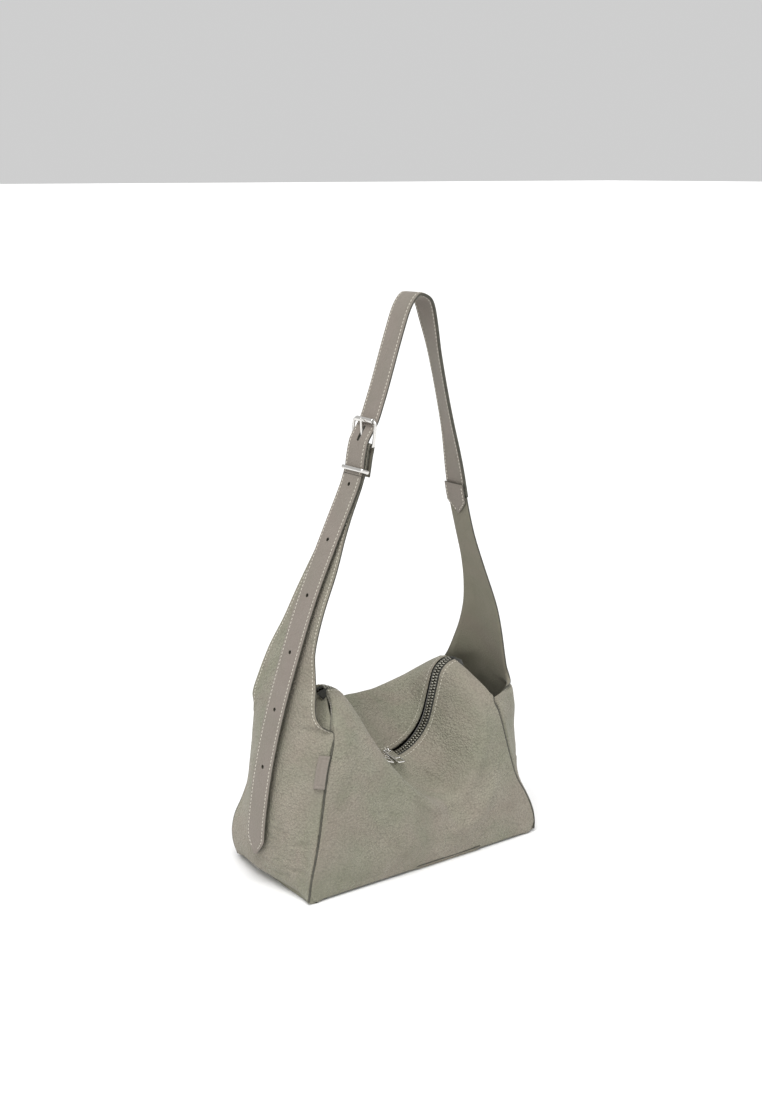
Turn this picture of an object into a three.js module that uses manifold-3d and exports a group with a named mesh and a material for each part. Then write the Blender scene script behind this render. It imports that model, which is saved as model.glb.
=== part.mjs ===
// A small leather hobo bag that stands on its base, with its adjustable shoulder strap up.
// Millimetres, +Z up, +X along the bag, -Y to its front. Origin: centre of the base, on the floor.
// The body is two curved panels between doubled ends. Each end's outer gusset is cupped, so that it
// leaves a slip pocket, and it runs up into a wing that carries the strap. A two-way zip lies in a
// valley between two peaks.
import * as THREE from "three";
import { mergeVertices } from "three/addons/utils/BufferGeometryUtils.js";
import Module from "manifold-3d";

const wasm = await Module();
wasm.setup();

// ---- driving dimensions ----
const LEATHER = 1.6; // thickness of panels and gussets
const WING_LEATHER = 1.4;
const STRAP_LEATHER = 2.5; // two layers, sewn back to back
const LINING = 0.7;
const GAP = 0.4; // left between pieces that touch
const BASE_THICKNESS = 2.0;
const BOARD_THICKNESS = 1.6;
const PANEL_FOOT = BASE_THICKNESS + 1; // lowest height of panels and gussets
const SEAM_INSET = 2.4; // a panel's edge stops this far from the corner seam
const STRAP_WIDTH = 26;
const HOLE_PITCH = 50;
const HOLE_RADIUS = 1.7;

// zip: an arc across the valley, straight flanks, and rounded peaks
const VALLEY_RADIUS = 46;
const VALLEY_CENTRE_Z = 130;
const VALLEY_HALF_ANGLE = THREE.MathUtils.degToRad(75);
const FLANK = 32;
const PEAK_RADIUS = 18;
const ZIP_HALF = 126.8; // length of the chain from the valley's lowest point to each end
const CHAIN_THICKNESS = 2.4;
const CHAIN_INNER = 0.8; // the two rows of teeth start this far from the middle
const CHAIN_OUTER = 3.3;
const PANEL_ZIP_EDGE = 6.2; // a panel's hem stops this far from the middle of the zip

// buckle and keeper, centre points in the strap's plane
const HEEL_BAR = { x: -28.5, z: 368.5 };
const ROLLER_BAR = { x: -25.8, z: 390 };
const BUCKLE_HALF_WIDTH = 15.2;
const BUCKLE_WIRE = 1.3; // radius
const ROLLER_RADIUS = 2.3;
const KEEPER_WIRE = 1.2; // radius
const KEEPER_FRONT = { x: -40.2, z: 350.2 };
const KEEPER_BACK = { x: -32.3, z: 347.3 };
const KEEPER_HALF_WIDTH = 14.6;

// ---- colours and finishes ----
const finish = (color, roughness, metalness = 0) => ({ color, roughness, metalness });
const NUBUCK = finish(0x918a7d, 0.9);
const STRAP_FINISH = finish(0x857c70, 0.8);
const NICKEL = finish(0xd5d3ce, 0.2, 1);
const TAPE = finish(0x2f2f2c, 0.9);
const CLOTH = finish(0x6f675b, 0.95);
const BOARD = finish(0x4b463f, 0.9);

const bag = new THREE.Group();

function addPiece(name, geometry, look) {
  const mesh = new THREE.Mesh(geometry, new THREE.MeshStandardMaterial(look));
  mesh.name = name;
  bag.add(mesh);
  return mesh;
}

// ---- shape helpers ----

// Smooth function through [input, value] pairs, straight beyond them.
function smooth(pairs) {
  const last = pairs.length - 1;
  const slope = (a, b) => (pairs[b][1] - pairs[a][1]) / (pairs[b][0] - pairs[a][0]);
  return (input) => {
    let k = 0;
    while (k < last - 1 && input > pairs[k + 1][0]) k += 1;
    const [x0, y0] = pairs[k];
    const [x1, y1] = pairs[k + 1];
    const width = x1 - x0;
    const t = THREE.MathUtils.clamp((input - x0) / width, 0, 1);
    const m0 = slope(Math.max(k - 1, 0), k + 1) * width;
    const m1 = slope(k, Math.min(k + 2, last)) * width;
    const t2 = t * t;
    const t3 = t2 * t;
    return (2 * t3 - 3 * t2 + 1) * y0 + (t3 - 2 * t2 + t) * m0 + (3 * t2 - 2 * t3) * y1 + (t3 - t2) * m1;
  };
}

const curveThrough = (points) =>
  new THREE.CatmullRomCurve3(points.map((p) => new THREE.Vector3(...p)), false, "centripetal");

// Unit normal of a surface point(u, v), to the side of (along u) x (along v), or the other side.
function normalAt(surface, u, v, side) {
  const d = 1e-3;
  const alongU = surface(Math.min(u + d, 1), v).sub(surface(Math.max(u - d, 0), v));
  const alongV = surface(u, Math.min(v + d, 1)).sub(surface(u, Math.max(v - d, 0)));
  return alongU.cross(alongV).normalize().multiplyScalar(side);
}

const offsetSurface = (surface, distance, side) => (u, v) =>
  surface(u, v).addScaledVector(normalAt(surface, u, v, side), distance);

// Closed solid between a surface (its outer face) and the same surface set back by thickness.
function sheet(surface, uSteps, vSteps, thickness, side = 1) {
  const positions = [];
  const back = offsetSurface(surface, -thickness, side);
  for (const face of [surface, back])
    for (let i = 0; i <= uSteps; i += 1)
      for (let j = 0; j <= vSteps; j += 1) positions.push(...face(i / uSteps, j / vSteps).toArray());
  const perFace = (uSteps + 1) * (vSteps + 1);
  const at = (face, i, j) => face * perFace + i * (vSteps + 1) + j;
  const indices = [];
  const quad = (a, b, c, d) => {
    if (side > 0) indices.push(a, b, c, a, c, d);
    else indices.push(a, c, b, a, d, c);
  };
  for (let i = 0; i < uSteps; i += 1)
    for (let j = 0; j < vSteps; j += 1) {
      quad(at(0, i, j), at(0, i + 1, j), at(0, i + 1, j + 1), at(0, i, j + 1));
      quad(at(1, i, j), at(1, i, j + 1), at(1, i + 1, j + 1), at(1, i + 1, j));
    }
  for (let i = 0; i < uSteps; i += 1) {
    quad(at(0, i, 0), at(1, i, 0), at(1, i + 1, 0), at(0, i + 1, 0));
    quad(at(0, i, vSteps), at(0, i + 1, vSteps), at(1, i + 1, vSteps), at(1, i, vSteps));
  }
  for (let j = 0; j < vSteps; j += 1) {
    quad(at(0, 0, j), at(0, 0, j + 1), at(1, 0, j + 1), at(1, 0, j));
    quad(at(0, uSteps, j), at(1, uSteps, j), at(1, uSteps, j + 1), at(0, uSteps, j + 1));
  }
  return new THREE.BufferGeometry()
    .setAttribute("position", new THREE.Float32BufferAttribute(positions, 3))
    .setIndex(indices);
}

function toSolid(geometry) {
  const bare = geometry.clone();
  bare.deleteAttribute("normal");
  bare.deleteAttribute("uv");
  const merged = mergeVertices(bare, 1e-4);
  const triVerts = new Uint32Array(merged.index.array);
  const vertProperties = merged.attributes.position.array;
  return new wasm.Manifold(new wasm.Mesh({ numProp: 3, vertProperties, triVerts }));
}

function toGeometry(solid) {
  const { vertProperties, triVerts } = solid.getMesh();
  return new THREE.BufferGeometry()
    .setAttribute("position", new THREE.BufferAttribute(vertProperties, 3))
    .setIndex(new THREE.BufferAttribute(triVerts, 1));
}

const joined = (geometries) =>
  toGeometry(geometries.map(toSolid).reduce((whole, next) => whole.add(next)));

const cutBy = (geometry, cutters) =>
  toGeometry(cutters.map(toSolid).reduce((whole, cutter) => whole.subtract(cutter), toSolid(geometry)));

// Cylinder between two points.
function rod(from, to, radius, sides = 10) {
  const a = new THREE.Vector3(...from);
  const b = new THREE.Vector3(...to);
  const turn = new THREE.Quaternion().setFromUnitVectors(
    new THREE.Vector3(0, 1, 0), b.clone().sub(a).normalize());
  return new THREE.CylinderGeometry(radius, radius, a.distanceTo(b), sides)
    .applyQuaternion(turn)
    .translate(...a.add(b).multiplyScalar(0.5).toArray());
}

const ball = (centre, radius) => new THREE.SphereGeometry(radius, 10, 6).translate(...centre);

// Rectangular wire loop round two bars that run along Y.
function wireLoop(first, second, halfWidth, radius) {
  const corners = [
    [first.x, -halfWidth, first.z], [first.x, halfWidth, first.z],
    [second.x, halfWidth, second.z], [second.x, -halfWidth, second.z]];
  const parts = corners.flatMap((corner, k) => [
    ball(corner, radius * 1.04), rod(corner, corners[(k + 1) % 4], radius)]);
  return joined(parts);
}

// ---- end seams, gussets and wings ----
// An end is worked out for +X and mirrored for -X. Heights run up its seams, then up the wing.

// line: outer face on the centre line, as a distance from the middle of the bag. half: half width, to
// the front or to the back. cup: how far that edge lies inside the line. power: how square the cup is.
const LEFT_END = {
  side: -1,
  lip: 143, // height at which the gusset ends and the wing begins
  line: smooth([
    [0, 133], [29, 139], [66, 136.5], [105, 129], [152, 115.5], [199, 99.7], [245, 82], [289, 61.5],
    [334, 40.4], [348.5, 35.4]]),
  front: smooth([
    [0, 61], [39, 60.3], [76, 58], [113, 55], [128, 52], [140, 48], [143, 45], [146, 42], [152, 36],
    [162, 32], [173, 28], [186, 25], [203, 22], [230, 21], [262, 20], [275, 18.5], [293, 15.5],
    [317, 13], [380, 13]]),
  back: smooth([
    [0, 60], [39, 59.5], [76, 57.5], [113, 54.5], [128, 52], [143, 49], [155, 48], [170, 45], [185, 42],
    [199, 38.5], [222, 30], [245, 25], [271, 20], [290, 17], [310, 14.5], [340, 13], [380, 13]]),
  frontCup: smooth([
    [0, 2.5], [38, 16.8], [76, 21.5], [113, 21.9], [140, 24.9], [143, 19], [146, 14.7], [152, 12],
    [162, 10.4], [173, 10.5], [186, 7.7], [203, 3.5], [230, 1.2], [262, 1], [300, 0], [400, 0]]),
  backCup: smooth([
    [0, 9], [18, 8], [40, 11.5], [55, 18], [71, 22], [90, 21], [109, 18], [120, 15], [143, 7.5],
    [153, 3], [163, 1.5], [199, 0.6], [262, 0], [400, 0]]),
  frontPower: () => 2,
  backPower: () => 2,
};
const RIGHT_END = {
  side: 1,
  lip: 136,
  line: smooth([
    [0, 133], [29, 139], [66, 136.5], [105, 129], [143, 119.5], [160, 116.5], [185, 111.5], [211, 105.4],
    [251, 94], [280, 85.3], [308, 77.9], [327, 74]]),
  front: smooth([
    [0, 60], [25, 59.5], [55, 58], [88, 56], [112, 54], [136, 48.5], [137.5, 45], [139, 38], [142, 31],
    [148, 26.5], [158, 24.5], [195, 24], [215, 22.5], [252, 16], [280, 12.8], [330, 12.5]]),
  back: smooth([
    [0, 60], [39, 59.5], [76, 57.5], [113, 54.5], [128, 52], [143, 48], [147, 45], [155, 40], [170, 33],
    [190, 24], [215, 16.5], [252, 12.8], [330, 12.5]]),
  frontCup: smooth([
    [0, 9], [12, 11.5], [25, 17.5], [40, 25], [55, 33], [69, 37], [98, 39.5], [124, 39.3], [136, 39],
    [137.5, 28], [139, 12], [142, 4], [150, 1.5], [262, 0], [400, 0]]),
  backCup: smooth([
    [0, 2], [29, 13.5], [57, 18.6], [95, 21.6], [143, 23.5], [150, 19], [175, 12], [215, 5], [262, 0],
    [400, 0]]),
  frontPower: smooth([
    [0, 3], [15, 3], [33, 1.8], [50, 1.6], [67, 2], [97, 2.7], [125, 5], [136, 6], [140, 3], [150, 2],
    [400, 2]]),
  backPower: smooth([[0, 2], [60, 2.5], [120, 3.5], [143, 3.5], [160, 2], [400, 2]]),
};

// Surface across an end: u climbs from low to high, v runs from the front edge to the back edge.
function endSurface(end, inset, low, high) {
  return (u, v) => {
    const z = low + (high - low) * u;
    const across = 2 * v - 1;
    const half = across < 0 ? end.front(z) : end.back(z);
    const cup = across < 0 ? end.frontCup(z) : end.backCup(z);
    const power = across < 0 ? end.frontPower(z) : end.backPower(z);
    const x = end.line(z) - cup * Math.abs(across) ** power;
    return new THREE.Vector3(end.side * x, across * (half - inset), z);
  };
}

function addOuterGusset(name, end) {
  const surface = endSurface(end, SEAM_INSET, PANEL_FOOT, end.lip);
  addPiece(name, sheet(surface, 12, 12, LEATHER, -end.side), NUBUCK);
}

// End wall behind the slip pocket. It narrows towards the end of the zip above the pocket lip.
function addInnerGusset(name, end, frontPoints, backPoints) {
  const halfWidth = smooth([[0, 54], [57, 52.5], [113, 47], [136, 40], [146, 30], [154, 14]]);
  const frontLine = smooth(frontPoints);
  const backLine = smooth(backPoints);
  const surface = (u, v) => {
    const z = PANEL_FOOT + (154 - PANEL_FOOT) * u;
    const x = THREE.MathUtils.lerp(frontLine(z), backLine(z), v);
    return new THREE.Vector3(end.side * x, (2 * v - 1) * halfWidth(z), z);
  };
  addPiece(name, sheet(surface, 12, 4, LEATHER, -end.side), NUBUCK);
}

// ---- zip path ----

// Point, direction and upward normal of the chain at a signed length from the valley's lowest point.
function zipFrame(length) {
  const arc = VALLEY_RADIUS * VALLEY_HALF_ANGLE;
  const s = Math.abs(length);
  const sign = Math.sign(length) || 1;
  const onArc = (angle) => [
    VALLEY_RADIUS * Math.sin(angle), VALLEY_CENTRE_Z - VALLEY_RADIUS * Math.cos(angle)];
  let angle = Math.min(s / VALLEY_RADIUS, VALLEY_HALF_ANGLE);
  let [x, z] = onArc(angle);
  if (s > arc) {
    const along = Math.min(s - arc, FLANK);
    x += along * Math.cos(angle);
    z += along * Math.sin(angle);
  }
  if (s > arc + FLANK) {
    const bend = (s - arc - FLANK) / PEAK_RADIUS;
    x += PEAK_RADIUS * (Math.sin(angle) - Math.sin(angle - bend));
    z += PEAK_RADIUS * (Math.cos(angle - bend) - Math.cos(angle));
    angle -= bend;
  }
  return {
    point: new THREE.Vector3(sign * x, 0, z),
    along: new THREE.Vector3(Math.cos(angle), 0, sign * Math.sin(angle)),
    up: new THREE.Vector3(-sign * Math.sin(angle), 0, Math.cos(angle)),
  };
}

// A strip along the chain between two distances from its middle, at two heights over it.
function alongZip(y0, height0, y1, height1, halfLength) {
  return (u, v) => {
    const { point, up } = zipFrame((2 * u - 1) * halfLength);
    point.addScaledVector(up, THREE.MathUtils.lerp(height0, height1, v));
    point.y = THREE.MathUtils.lerp(y0, y1, v);
    return point;
  };
}

function addZipHalf(sideName, side) {
  const top = CHAIN_THICKNESS / 2;
  const chain = side < 0
    ? alongZip(-CHAIN_OUTER, top, -CHAIN_INNER, top, ZIP_HALF)
    : alongZip(CHAIN_INNER, top, CHAIN_OUTER, top, ZIP_HALF);
  addPiece("zip_teeth_" + sideName, sheet(chain, 52, 1, CHAIN_THICKNESS, 1), NICKEL);
  const edge = CHAIN_OUTER + GAP;
  const hem = 9.2;
  const tape = side < 0
    ? alongZip(-hem, -3.8, -edge, -0.2, ZIP_HALF - 1)
    : alongZip(edge, -0.2, hem, -3.8, ZIP_HALF - 1);
  addPiece("zip_tape_" + sideName, sheet(tape, 40, 1, LINING, 1), TAPE);
}

// ---- front and back panels ----
// Each section runs up the panel from its foot to the zip hem. The hem follows the zip exactly.
// A section is the length along the zip at which it ends, then its points from the foot upwards.
const FRONT_ROWS = [0, 0.16, 0.33, 0.49, 0.62, 0.73, 0.87, 1];
const FRONT_SECTIONS = [
  [-118, [-130.5, -61, PANEL_FOOT], [-122.5, -60, 38], [-113.5, -58, 76], [-105, -55, 113],
    [-95, -48.5, 139], [-90.5, -40, 148], [-81, -25, 157]],
  [-110, [-108, -61, PANEL_FOOT], [-103, -62, 36], [-98, -61.5, 72], [-92, -59, 106], [-84, -53, 133],
    [-80, -42, 148], [-73, -24, 159]],
  [-100, [-84, -61, PANEL_FOOT], [-80, -63, 36], [-77, -63, 72], [-74, -59, 104], [-70, -51, 131],
    [-67, -39, 147], [-63, -22, 157]],
  [-84, [-60, -61, PANEL_FOOT], [-58, -64, 32], [-57, -63.5, 62], [-55, -60, 90], [-54, -53, 113],
    [-53, -41, 131], [-52, -23, 138]],
  [-50, [-38, -61, PANEL_FOOT], [-37, -64.5, 26], [-36, -64.5, 50], [-35, -61.5, 74], [-34, -54.5, 94],
    [-34, -44, 98], [-37, -24, 102]],
  [-32, [-19, -61, PANEL_FOOT], [-18.5, -64, 20], [-18, -64.5, 40], [-17, -62.5, 60], [-16, -58, 75],
    [-17, -47, 80], [-22, -25, 86]],
  [-10, [0, -61, PANEL_FOOT], [0, -63, 16], [0, -64, 32], [0.5, -63, 46], [1, -60.5, 58], [1, -49, 66.5],
    [-3, -25, 76]],
  [8, [15, -61, PANEL_FOOT], [15, -63, 13], [15, -64, 26], [15, -63.5, 37], [15, -60.5, 46], [13, -51, 56],
    [10, -27, 73]],
  [24, [29, -61, PANEL_FOOT], [29, -63, 11], [29, -63.5, 22], [29, -62.5, 31], [28, -58.5, 40],
    [26, -50, 52], [24, -28, 73]],
  [42, [45, -61, PANEL_FOOT], [44, -62.5, 14], [43, -62, 28], [42, -60.5, 41], [41, -57, 53], [40, -48, 68],
    [38, -27, 90]],
  [62, [62, -61, PANEL_FOOT], [61, -62, 22], [59, -61, 44], [57, -59.5, 65], [55, -56, 84], [52, -46, 102],
    [48, -26, 120]],
  [90, [82, -61, PANEL_FOOT], [79, -62, 29], [74, -61, 58], [69, -58.5, 86], [65, -54.5, 110],
    [62, -44, 131], [57, -24, 148]],
  [107, [103, -60.5, PANEL_FOOT], [98, -61, 30], [88, -60, 59], [80, -57.5, 87], [74, -54, 112],
    [71, -46, 136], [67, -23, 156]],
  [118, [126, -59, PANEL_FOOT], [120, -59.5, 29], [103, -58, 58], [94, -56, 86], [86.5, -54, 112],
    [81.5, -48, 137], [76, -22, 154]],
];
const BACK_ROWS = [0, 0.24, 0.48, 0.68, 0.88, 1];
const BACK_SECTIONS = [
  [-118, [-124, 60, PANEL_FOOT], [-118, 59, 57], [-110, 55, 109], [-111, 49, 143], [-84, 22, 157.5]],
  [-105, [-98, 60, PANEL_FOOT], [-93, 62.5, 55], [-87, 59, 107], [-84, 47, 143], [-71, 22, 158]],
  [-86, [-65, 60, PANEL_FOOT], [-64, 64, 54], [-60, 60, 104], [-56, 47, 138], [-54, 25, 146]],
  [-53, [-32, 60, PANEL_FOOT], [-32, 65, 52], [-31, 61, 98], [-30, 47, 133], [-37, 24, 121]],
  [0, [0, 60, PANEL_FOOT], [0, 65, 50], [0, 61, 96], [0, 46, 132], [0, 24, 105]],
  [53, [33, 60, PANEL_FOOT], [33, 65, 52], [33, 61, 99], [33, 46, 135], [37, 24, 121]],
  [86, [66, 60, PANEL_FOOT], [66, 64, 54], [63, 60, 104], [59, 46, 139], [54, 25, 146]],
  [105, [98, 60, PANEL_FOOT], [94, 62.5, 55], [87, 59, 107], [80, 46, 143], [72, 22, 158]],
  [118, [130.5, 60, PANEL_FOOT], [117.9, 59, 57], [105, 54.5, 112], [94.7, 48, 142], [80, 22, 157]],
];

// Surface of a panel: u along the bag from left to right, v up the panel from its foot to the zip.
function panelSurface(rows, sections, side) {
  const last = sections.length - 1;
  const stations = smooth(sections.map((section, n) => [n / last, section[0]]));
  const hem = (u) => {
    const { point, up } = zipFrame(stations(u));
    point.addScaledVector(up, 0.9);
    point.y = side * PANEL_ZIP_EDGE;
    return point;
  };
  const coordinate = (k, row) => smooth(sections.map((section, n) => [n / last, section[row + 1][k]]));
  const lines = rows.slice(0, -1).map((_, row) => [0, 1, 2].map((k) => coordinate(k, row)));
  return (u, v) => {
    // the panel stops just short of its side seams
    const inset = SEAM_INSET / 260;
    const w = inset + (1 - 2 * inset) * u;
    const points = lines.map((line) => line.map((f) => f(w)));
    points.push(hem(w).toArray());
    const at = (k) => smooth(points.map((p, n) => [rows[n], p[k]]))(v);
    return new THREE.Vector3(at(0), at(1), at(2));
  };
}

function addPanel(name, rows, sections, side) {
  const uSteps = 26;
  const vSteps = 14;
  const surface = panelSurface(rows, sections, side);
  addPiece(name, sheet(surface, uSteps, vSteps, LEATHER, -side), NUBUCK);
  // its lining, a skin just inside it and one step smaller all round, on the same facets
  const trim = (u, v) =>
    surface((1 + u * (uSteps - 2)) / uSteps, (1 + v * (vSteps - 2)) / vSteps);
  const inner = offsetSurface(trim, -(LEATHER + 3 * GAP), -side);
  addPiece("lining_" + name.split("_")[0], sheet(inner, uSteps - 2, vSteps - 2, LINING, -side), CLOTH);
}

addPanel("front_panel", FRONT_ROWS, FRONT_SECTIONS, -1);
addPanel("back_panel", BACK_ROWS, BACK_SECTIONS, 1);

// ---- ends ----
addOuterGusset("left_gusset", LEFT_END);
addOuterGusset("right_gusset", RIGHT_END);
addInnerGusset(
  "left_inner_gusset", LEFT_END,
  [[0, 126], [57, 112], [113, 99], [140, 89], [150, 82], [160, 74]],
  [[0, 119], [57, 109], [113, 102], [140, 95], [150, 86], [160, 74]]);
addInnerGusset(
  "right_inner_gusset", RIGHT_END,
  [[0, 117], [25, 113], [55, 98], [98, 84], [138, 75.5], [150, 72], [160, 70]],
  [[0, 126], [57, 112], [113, 99], [143, 90], [150, 84], [160, 74]]);

// ---- zip ----
addZipHalf("front", -1);
addZipHalf("back", 1);

// The slider is built round the valley's centre line, so that it can run along the arc.
// Its two plates are joined by a wedge that passes between the two rows of teeth.
const SLIDER_HALF_ANGLE = 7.2; // degrees of the valley arc
const SLIDER_REST = { right: -4.8, left: -21.2 }; // the two stand nose to nose, left of the lowest point
const SLIDER_CLEARANCE = 0.5;
const PLATE = 1.3;
const BRIDGE = { half: 3.6, rise: 3.4, wire: 0.9 };
const PULLER = {
  ring: 2.2, wire: 0.75, halfWidth: 4.4, length: 24, thickness: 1.5, rim: 1.5, windowLength: 6, hang: 10 };

// Block of a ring about the valley's axis: between two heights over the chain, two angles, and +-y.
function ringBlock(low, high, fromAngle, toAngle, halfY) {
  const surface = (u, v) => {
    const angle = THREE.MathUtils.degToRad(THREE.MathUtils.lerp(fromAngle, toAngle, u));
    const radius = VALLEY_RADIUS - high;
    const centre = new THREE.Vector3(0, 0, VALLEY_CENTRE_Z);
    const arm = new THREE.Vector3(Math.sin(angle), 0, -Math.cos(angle)).multiplyScalar(radius);
    return centre.add(arm).setY(THREE.MathUtils.lerp(-halfY, halfY, v));
  };
  return sheet(surface, 4, 1, high - low, 1);
}

function addSlider(sideName) {
  const middle = SLIDER_REST[sideName];
  const from = middle - SLIDER_HALF_ANGLE;
  const to = middle + SLIDER_HALF_ANGLE;
  const over = CHAIN_THICKNESS / 2 + SLIDER_CLEARANCE;
  const at = (angle, height) => {
    const a = THREE.MathUtils.degToRad(angle);
    const radius = VALLEY_RADIUS - height;
    return [radius * Math.sin(a), 0, VALLEY_CENTRE_Z - radius * Math.cos(a)];
  };
  const spread = THREE.MathUtils.radToDeg(BRIDGE.half / VALLEY_RADIUS);
  const feet = [middle - spread, middle + spread];
  const bar = over + PLATE + BRIDGE.rise;
  const tops = feet.map((angle) => at(angle, bar));
  addPiece("zip_slider_" + sideName, joined([
    ringBlock(over, over + PLATE, from, to, 4.4),
    ringBlock(-over - PLATE, -over, from, to, 3.1),
    ringBlock(-over - 0.3, over + 0.3, middle - 3, middle + 3, CHAIN_INNER / 2),
    ...feet.map((angle, k) => rod(at(angle, over + 0.5), tops[k], BRIDGE.wire)),
    rod(tops[0], tops[1], BRIDGE.wire),
    ...tops.map((top) => ball(top, BRIDGE.wire * 1.04)),
  ]), NICKEL);
  addPuller(sideName, new THREE.Vector3(...at(middle, bar)), THREE.MathUtils.degToRad(middle));
}

// The puller is a ring round the bridge and a flat tab with a window at its free end.
// It hangs over the front hem.
function addPuller(sideName, centre, slant) {
  const box = (x0, x1, y0, y1) =>
    [[x0, y0], [x1, y0], [x1, y1], [x0, y1]].map((p) => new THREE.Vector2(...p));
  const { halfWidth, length, thickness, rim, windowLength } = PULLER;
  const tab = new THREE.Shape(box(-halfWidth, halfWidth, -length, -PULLER.ring));
  const windowEnd = rim - length;
  const gap = box(rim - halfWidth, halfWidth - rim, windowEnd, windowEnd + windowLength);
  tab.holes.push(new THREE.Path(gap));
  const plate = new THREE.ExtrudeGeometry(tab, { depth: thickness, bevelEnabled: false })
    .translate(0, 0, -thickness / 2);
  const ring = new THREE.TorusGeometry(PULLER.ring, PULLER.wire, 8, 16).rotateY(Math.PI / 2);
  const mesh = addPiece("zip_puller_" + sideName, joined([plate, ring]), NICKEL);
  mesh.rotation.set(THREE.MathUtils.degToRad(PULLER.hang), -slant, 0, "YXZ");
  mesh.position.copy(centre);
}

addSlider("right");
addSlider("left");

// ---- base ----
function baseOutline(halfLength, halfDepth, corner, bow) {
  const outline = new THREE.Shape();
  outline.moveTo(-halfLength + corner, -halfDepth);
  outline.lineTo(halfLength - corner, -halfDepth);
  outline.quadraticCurveTo(halfLength, -halfDepth, halfLength, -halfDepth + corner);
  outline.quadraticCurveTo(halfLength + bow, 0, halfLength, halfDepth - corner);
  outline.quadraticCurveTo(halfLength, halfDepth, halfLength - corner, halfDepth);
  outline.lineTo(-halfLength + corner, halfDepth);
  outline.quadraticCurveTo(-halfLength, halfDepth, -halfLength, halfDepth - corner);
  outline.quadraticCurveTo(-halfLength - bow, 0, -halfLength, -halfDepth + corner);
  outline.quadraticCurveTo(-halfLength, -halfDepth, -halfLength + corner, -halfDepth);
  return outline;
}

const slab = (outline, thickness, z) =>
  new THREE.ExtrudeGeometry(outline, { depth: thickness, bevelEnabled: false, curveSegments: 8 })
    .translate(0, 0, z);

addPiece("base_panel", slab(baseOutline(130.5, 61, 12, 5), BASE_THICKNESS, 0), NUBUCK);
addPiece("base_board", slab(baseOutline(112.5, 53, 8, 0), BOARD_THICKNESS, BASE_THICKNESS + GAP), BOARD);
const FLOOR_Z = BASE_THICKNESS + BOARD_THICKNESS + 2 * GAP;
addPiece("lining_floor", slab(baseOutline(112, 52, 8, 0), LINING, FLOOR_Z), CLOTH);

// ---- wings ----
// The left wing climbs its line, folds round the buckle's heel bar and comes back down inside,
// behind the keeper's back bar.
const foldRadius = BUCKLE_WIRE + 0.5 + WING_LEATHER;
const foldPoint = (degrees) => {
  const a = THREE.MathUtils.degToRad(degrees);
  return [HEEL_BAR.x + foldRadius * Math.cos(a), HEEL_BAR.z + foldRadius * Math.sin(a)];
};
const WING_GAP = 1.2; // above the lip
const WING_TOP = 342;

function addLeftWing() {
  const flared = endSurface(LEFT_END, 0, LEFT_END.lip + WING_GAP, WING_TOP);
  const fold = curveThrough([
    [-LEFT_END.line(WING_TOP), 0, WING_TOP], [-35.2, 0, 350], [-33.2, 0, 359],
    ...[155, 95, 35, -20].map((a) => [foldPoint(a)[0], 0, foldPoint(a)[1]]),
    [-27.2, 0, 360], [-28.8, 0, 351], [-30.2, 0, 343], [-32.4, 0, 336]]);
  const share = 0.42; // of the steps that are on the flared wing
  const surface = (u, v) => {
    if (u <= share) return flared(u / share, v);
    const point = fold.getPointAt((u - share) / (1 - share));
    return point.setY((2 * v - 1) * LEFT_END.front(380));
  };
  // a slot in the fold lets the prong turn on the bar
  const slot = new THREE.BoxGeometry(12, 4, 14).translate(HEEL_BAR.x, 0, HEEL_BAR.z + 3.4);
  addPiece("left_wing", cutBy(sheet(surface, 50, 4, WING_LEATHER, 1), [slot]), NUBUCK);
}

const RIGHT_WING_TOP = 312;

function addRightWing() {
  const surface = endSurface(RIGHT_END, 0, RIGHT_END.lip + WING_GAP, RIGHT_WING_TOP);
  addPiece("right_wing", sheet(surface, 22, 4, WING_LEATHER, -1), NUBUCK);
}

addLeftWing();
addRightWing();

// ---- strap ----
// Outer face of the strap in its own plane, from the tip of the tail up over the top and down the right.
const TAIL_LINE = [
  [-144, 29], [-141.6, 60], [-133.9, 105], [-121.5, 152], [-105.6, 199], [-88, 245], [-67, 289],
  [-44.4, 334]].map(([x, z]) => [x, 0, z]);
const STRAP_SPLIT = [-40, 345.5];
const PRONG_HOLE = 37.5; // length along the strap from the split to the hole in use
const STRAP_LINE = [
  [-38.4, 350], [-37.1, 359], [-35.2, 368], [-32.6, 375.5], [-23.4, 389.2], [-16.8, 405],
  [-10.4, 422.5], [3.2, 461.9], [12.2, 484], [21.5, 494.1], [31, 492.5], [37.6, 486.7], [43.2, 469.5], [48.9, 448],
  [60.6, 399.5], [68.9, 363.5], [75.6, 327], [78.2, 313.4]].map(([x, z]) => [x, 0, z]);

function strapSurface(curve, tipLength = 0) {
  const length = curve.getLength();
  return (u, v) => {
    const along = u * length;
    // a pointed tip at the start, where there is one
    const share = tipLength ? Math.min(along / tipLength, 1) : 1;
    const halfWidth = (STRAP_WIDTH / 2) * (0.16 + 0.84 * Math.sin((share * Math.PI) / 2));
    return curve.getPointAt(u).setY((2 * v - 1) * halfWidth);
  };
}

// Holes punched through a strap at lengths measured along its curve.
function punched(curve, geometry, lengths, radius) {
  const total = curve.getLength();
  return cutBy(geometry, lengths.map((length) => {
    const u = length / total;
    const direction = curve.getTangentAt(u);
    const normal = new THREE.Vector3(-direction.z, 0, direction.x);
    const centre = curve.getPointAt(u);
    const from = centre.clone().addScaledVector(normal, -6).toArray();
    const to = centre.clone().addScaledVector(normal, 4).toArray();
    return rod(from, to, radius, 10);
  }));
}

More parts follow.
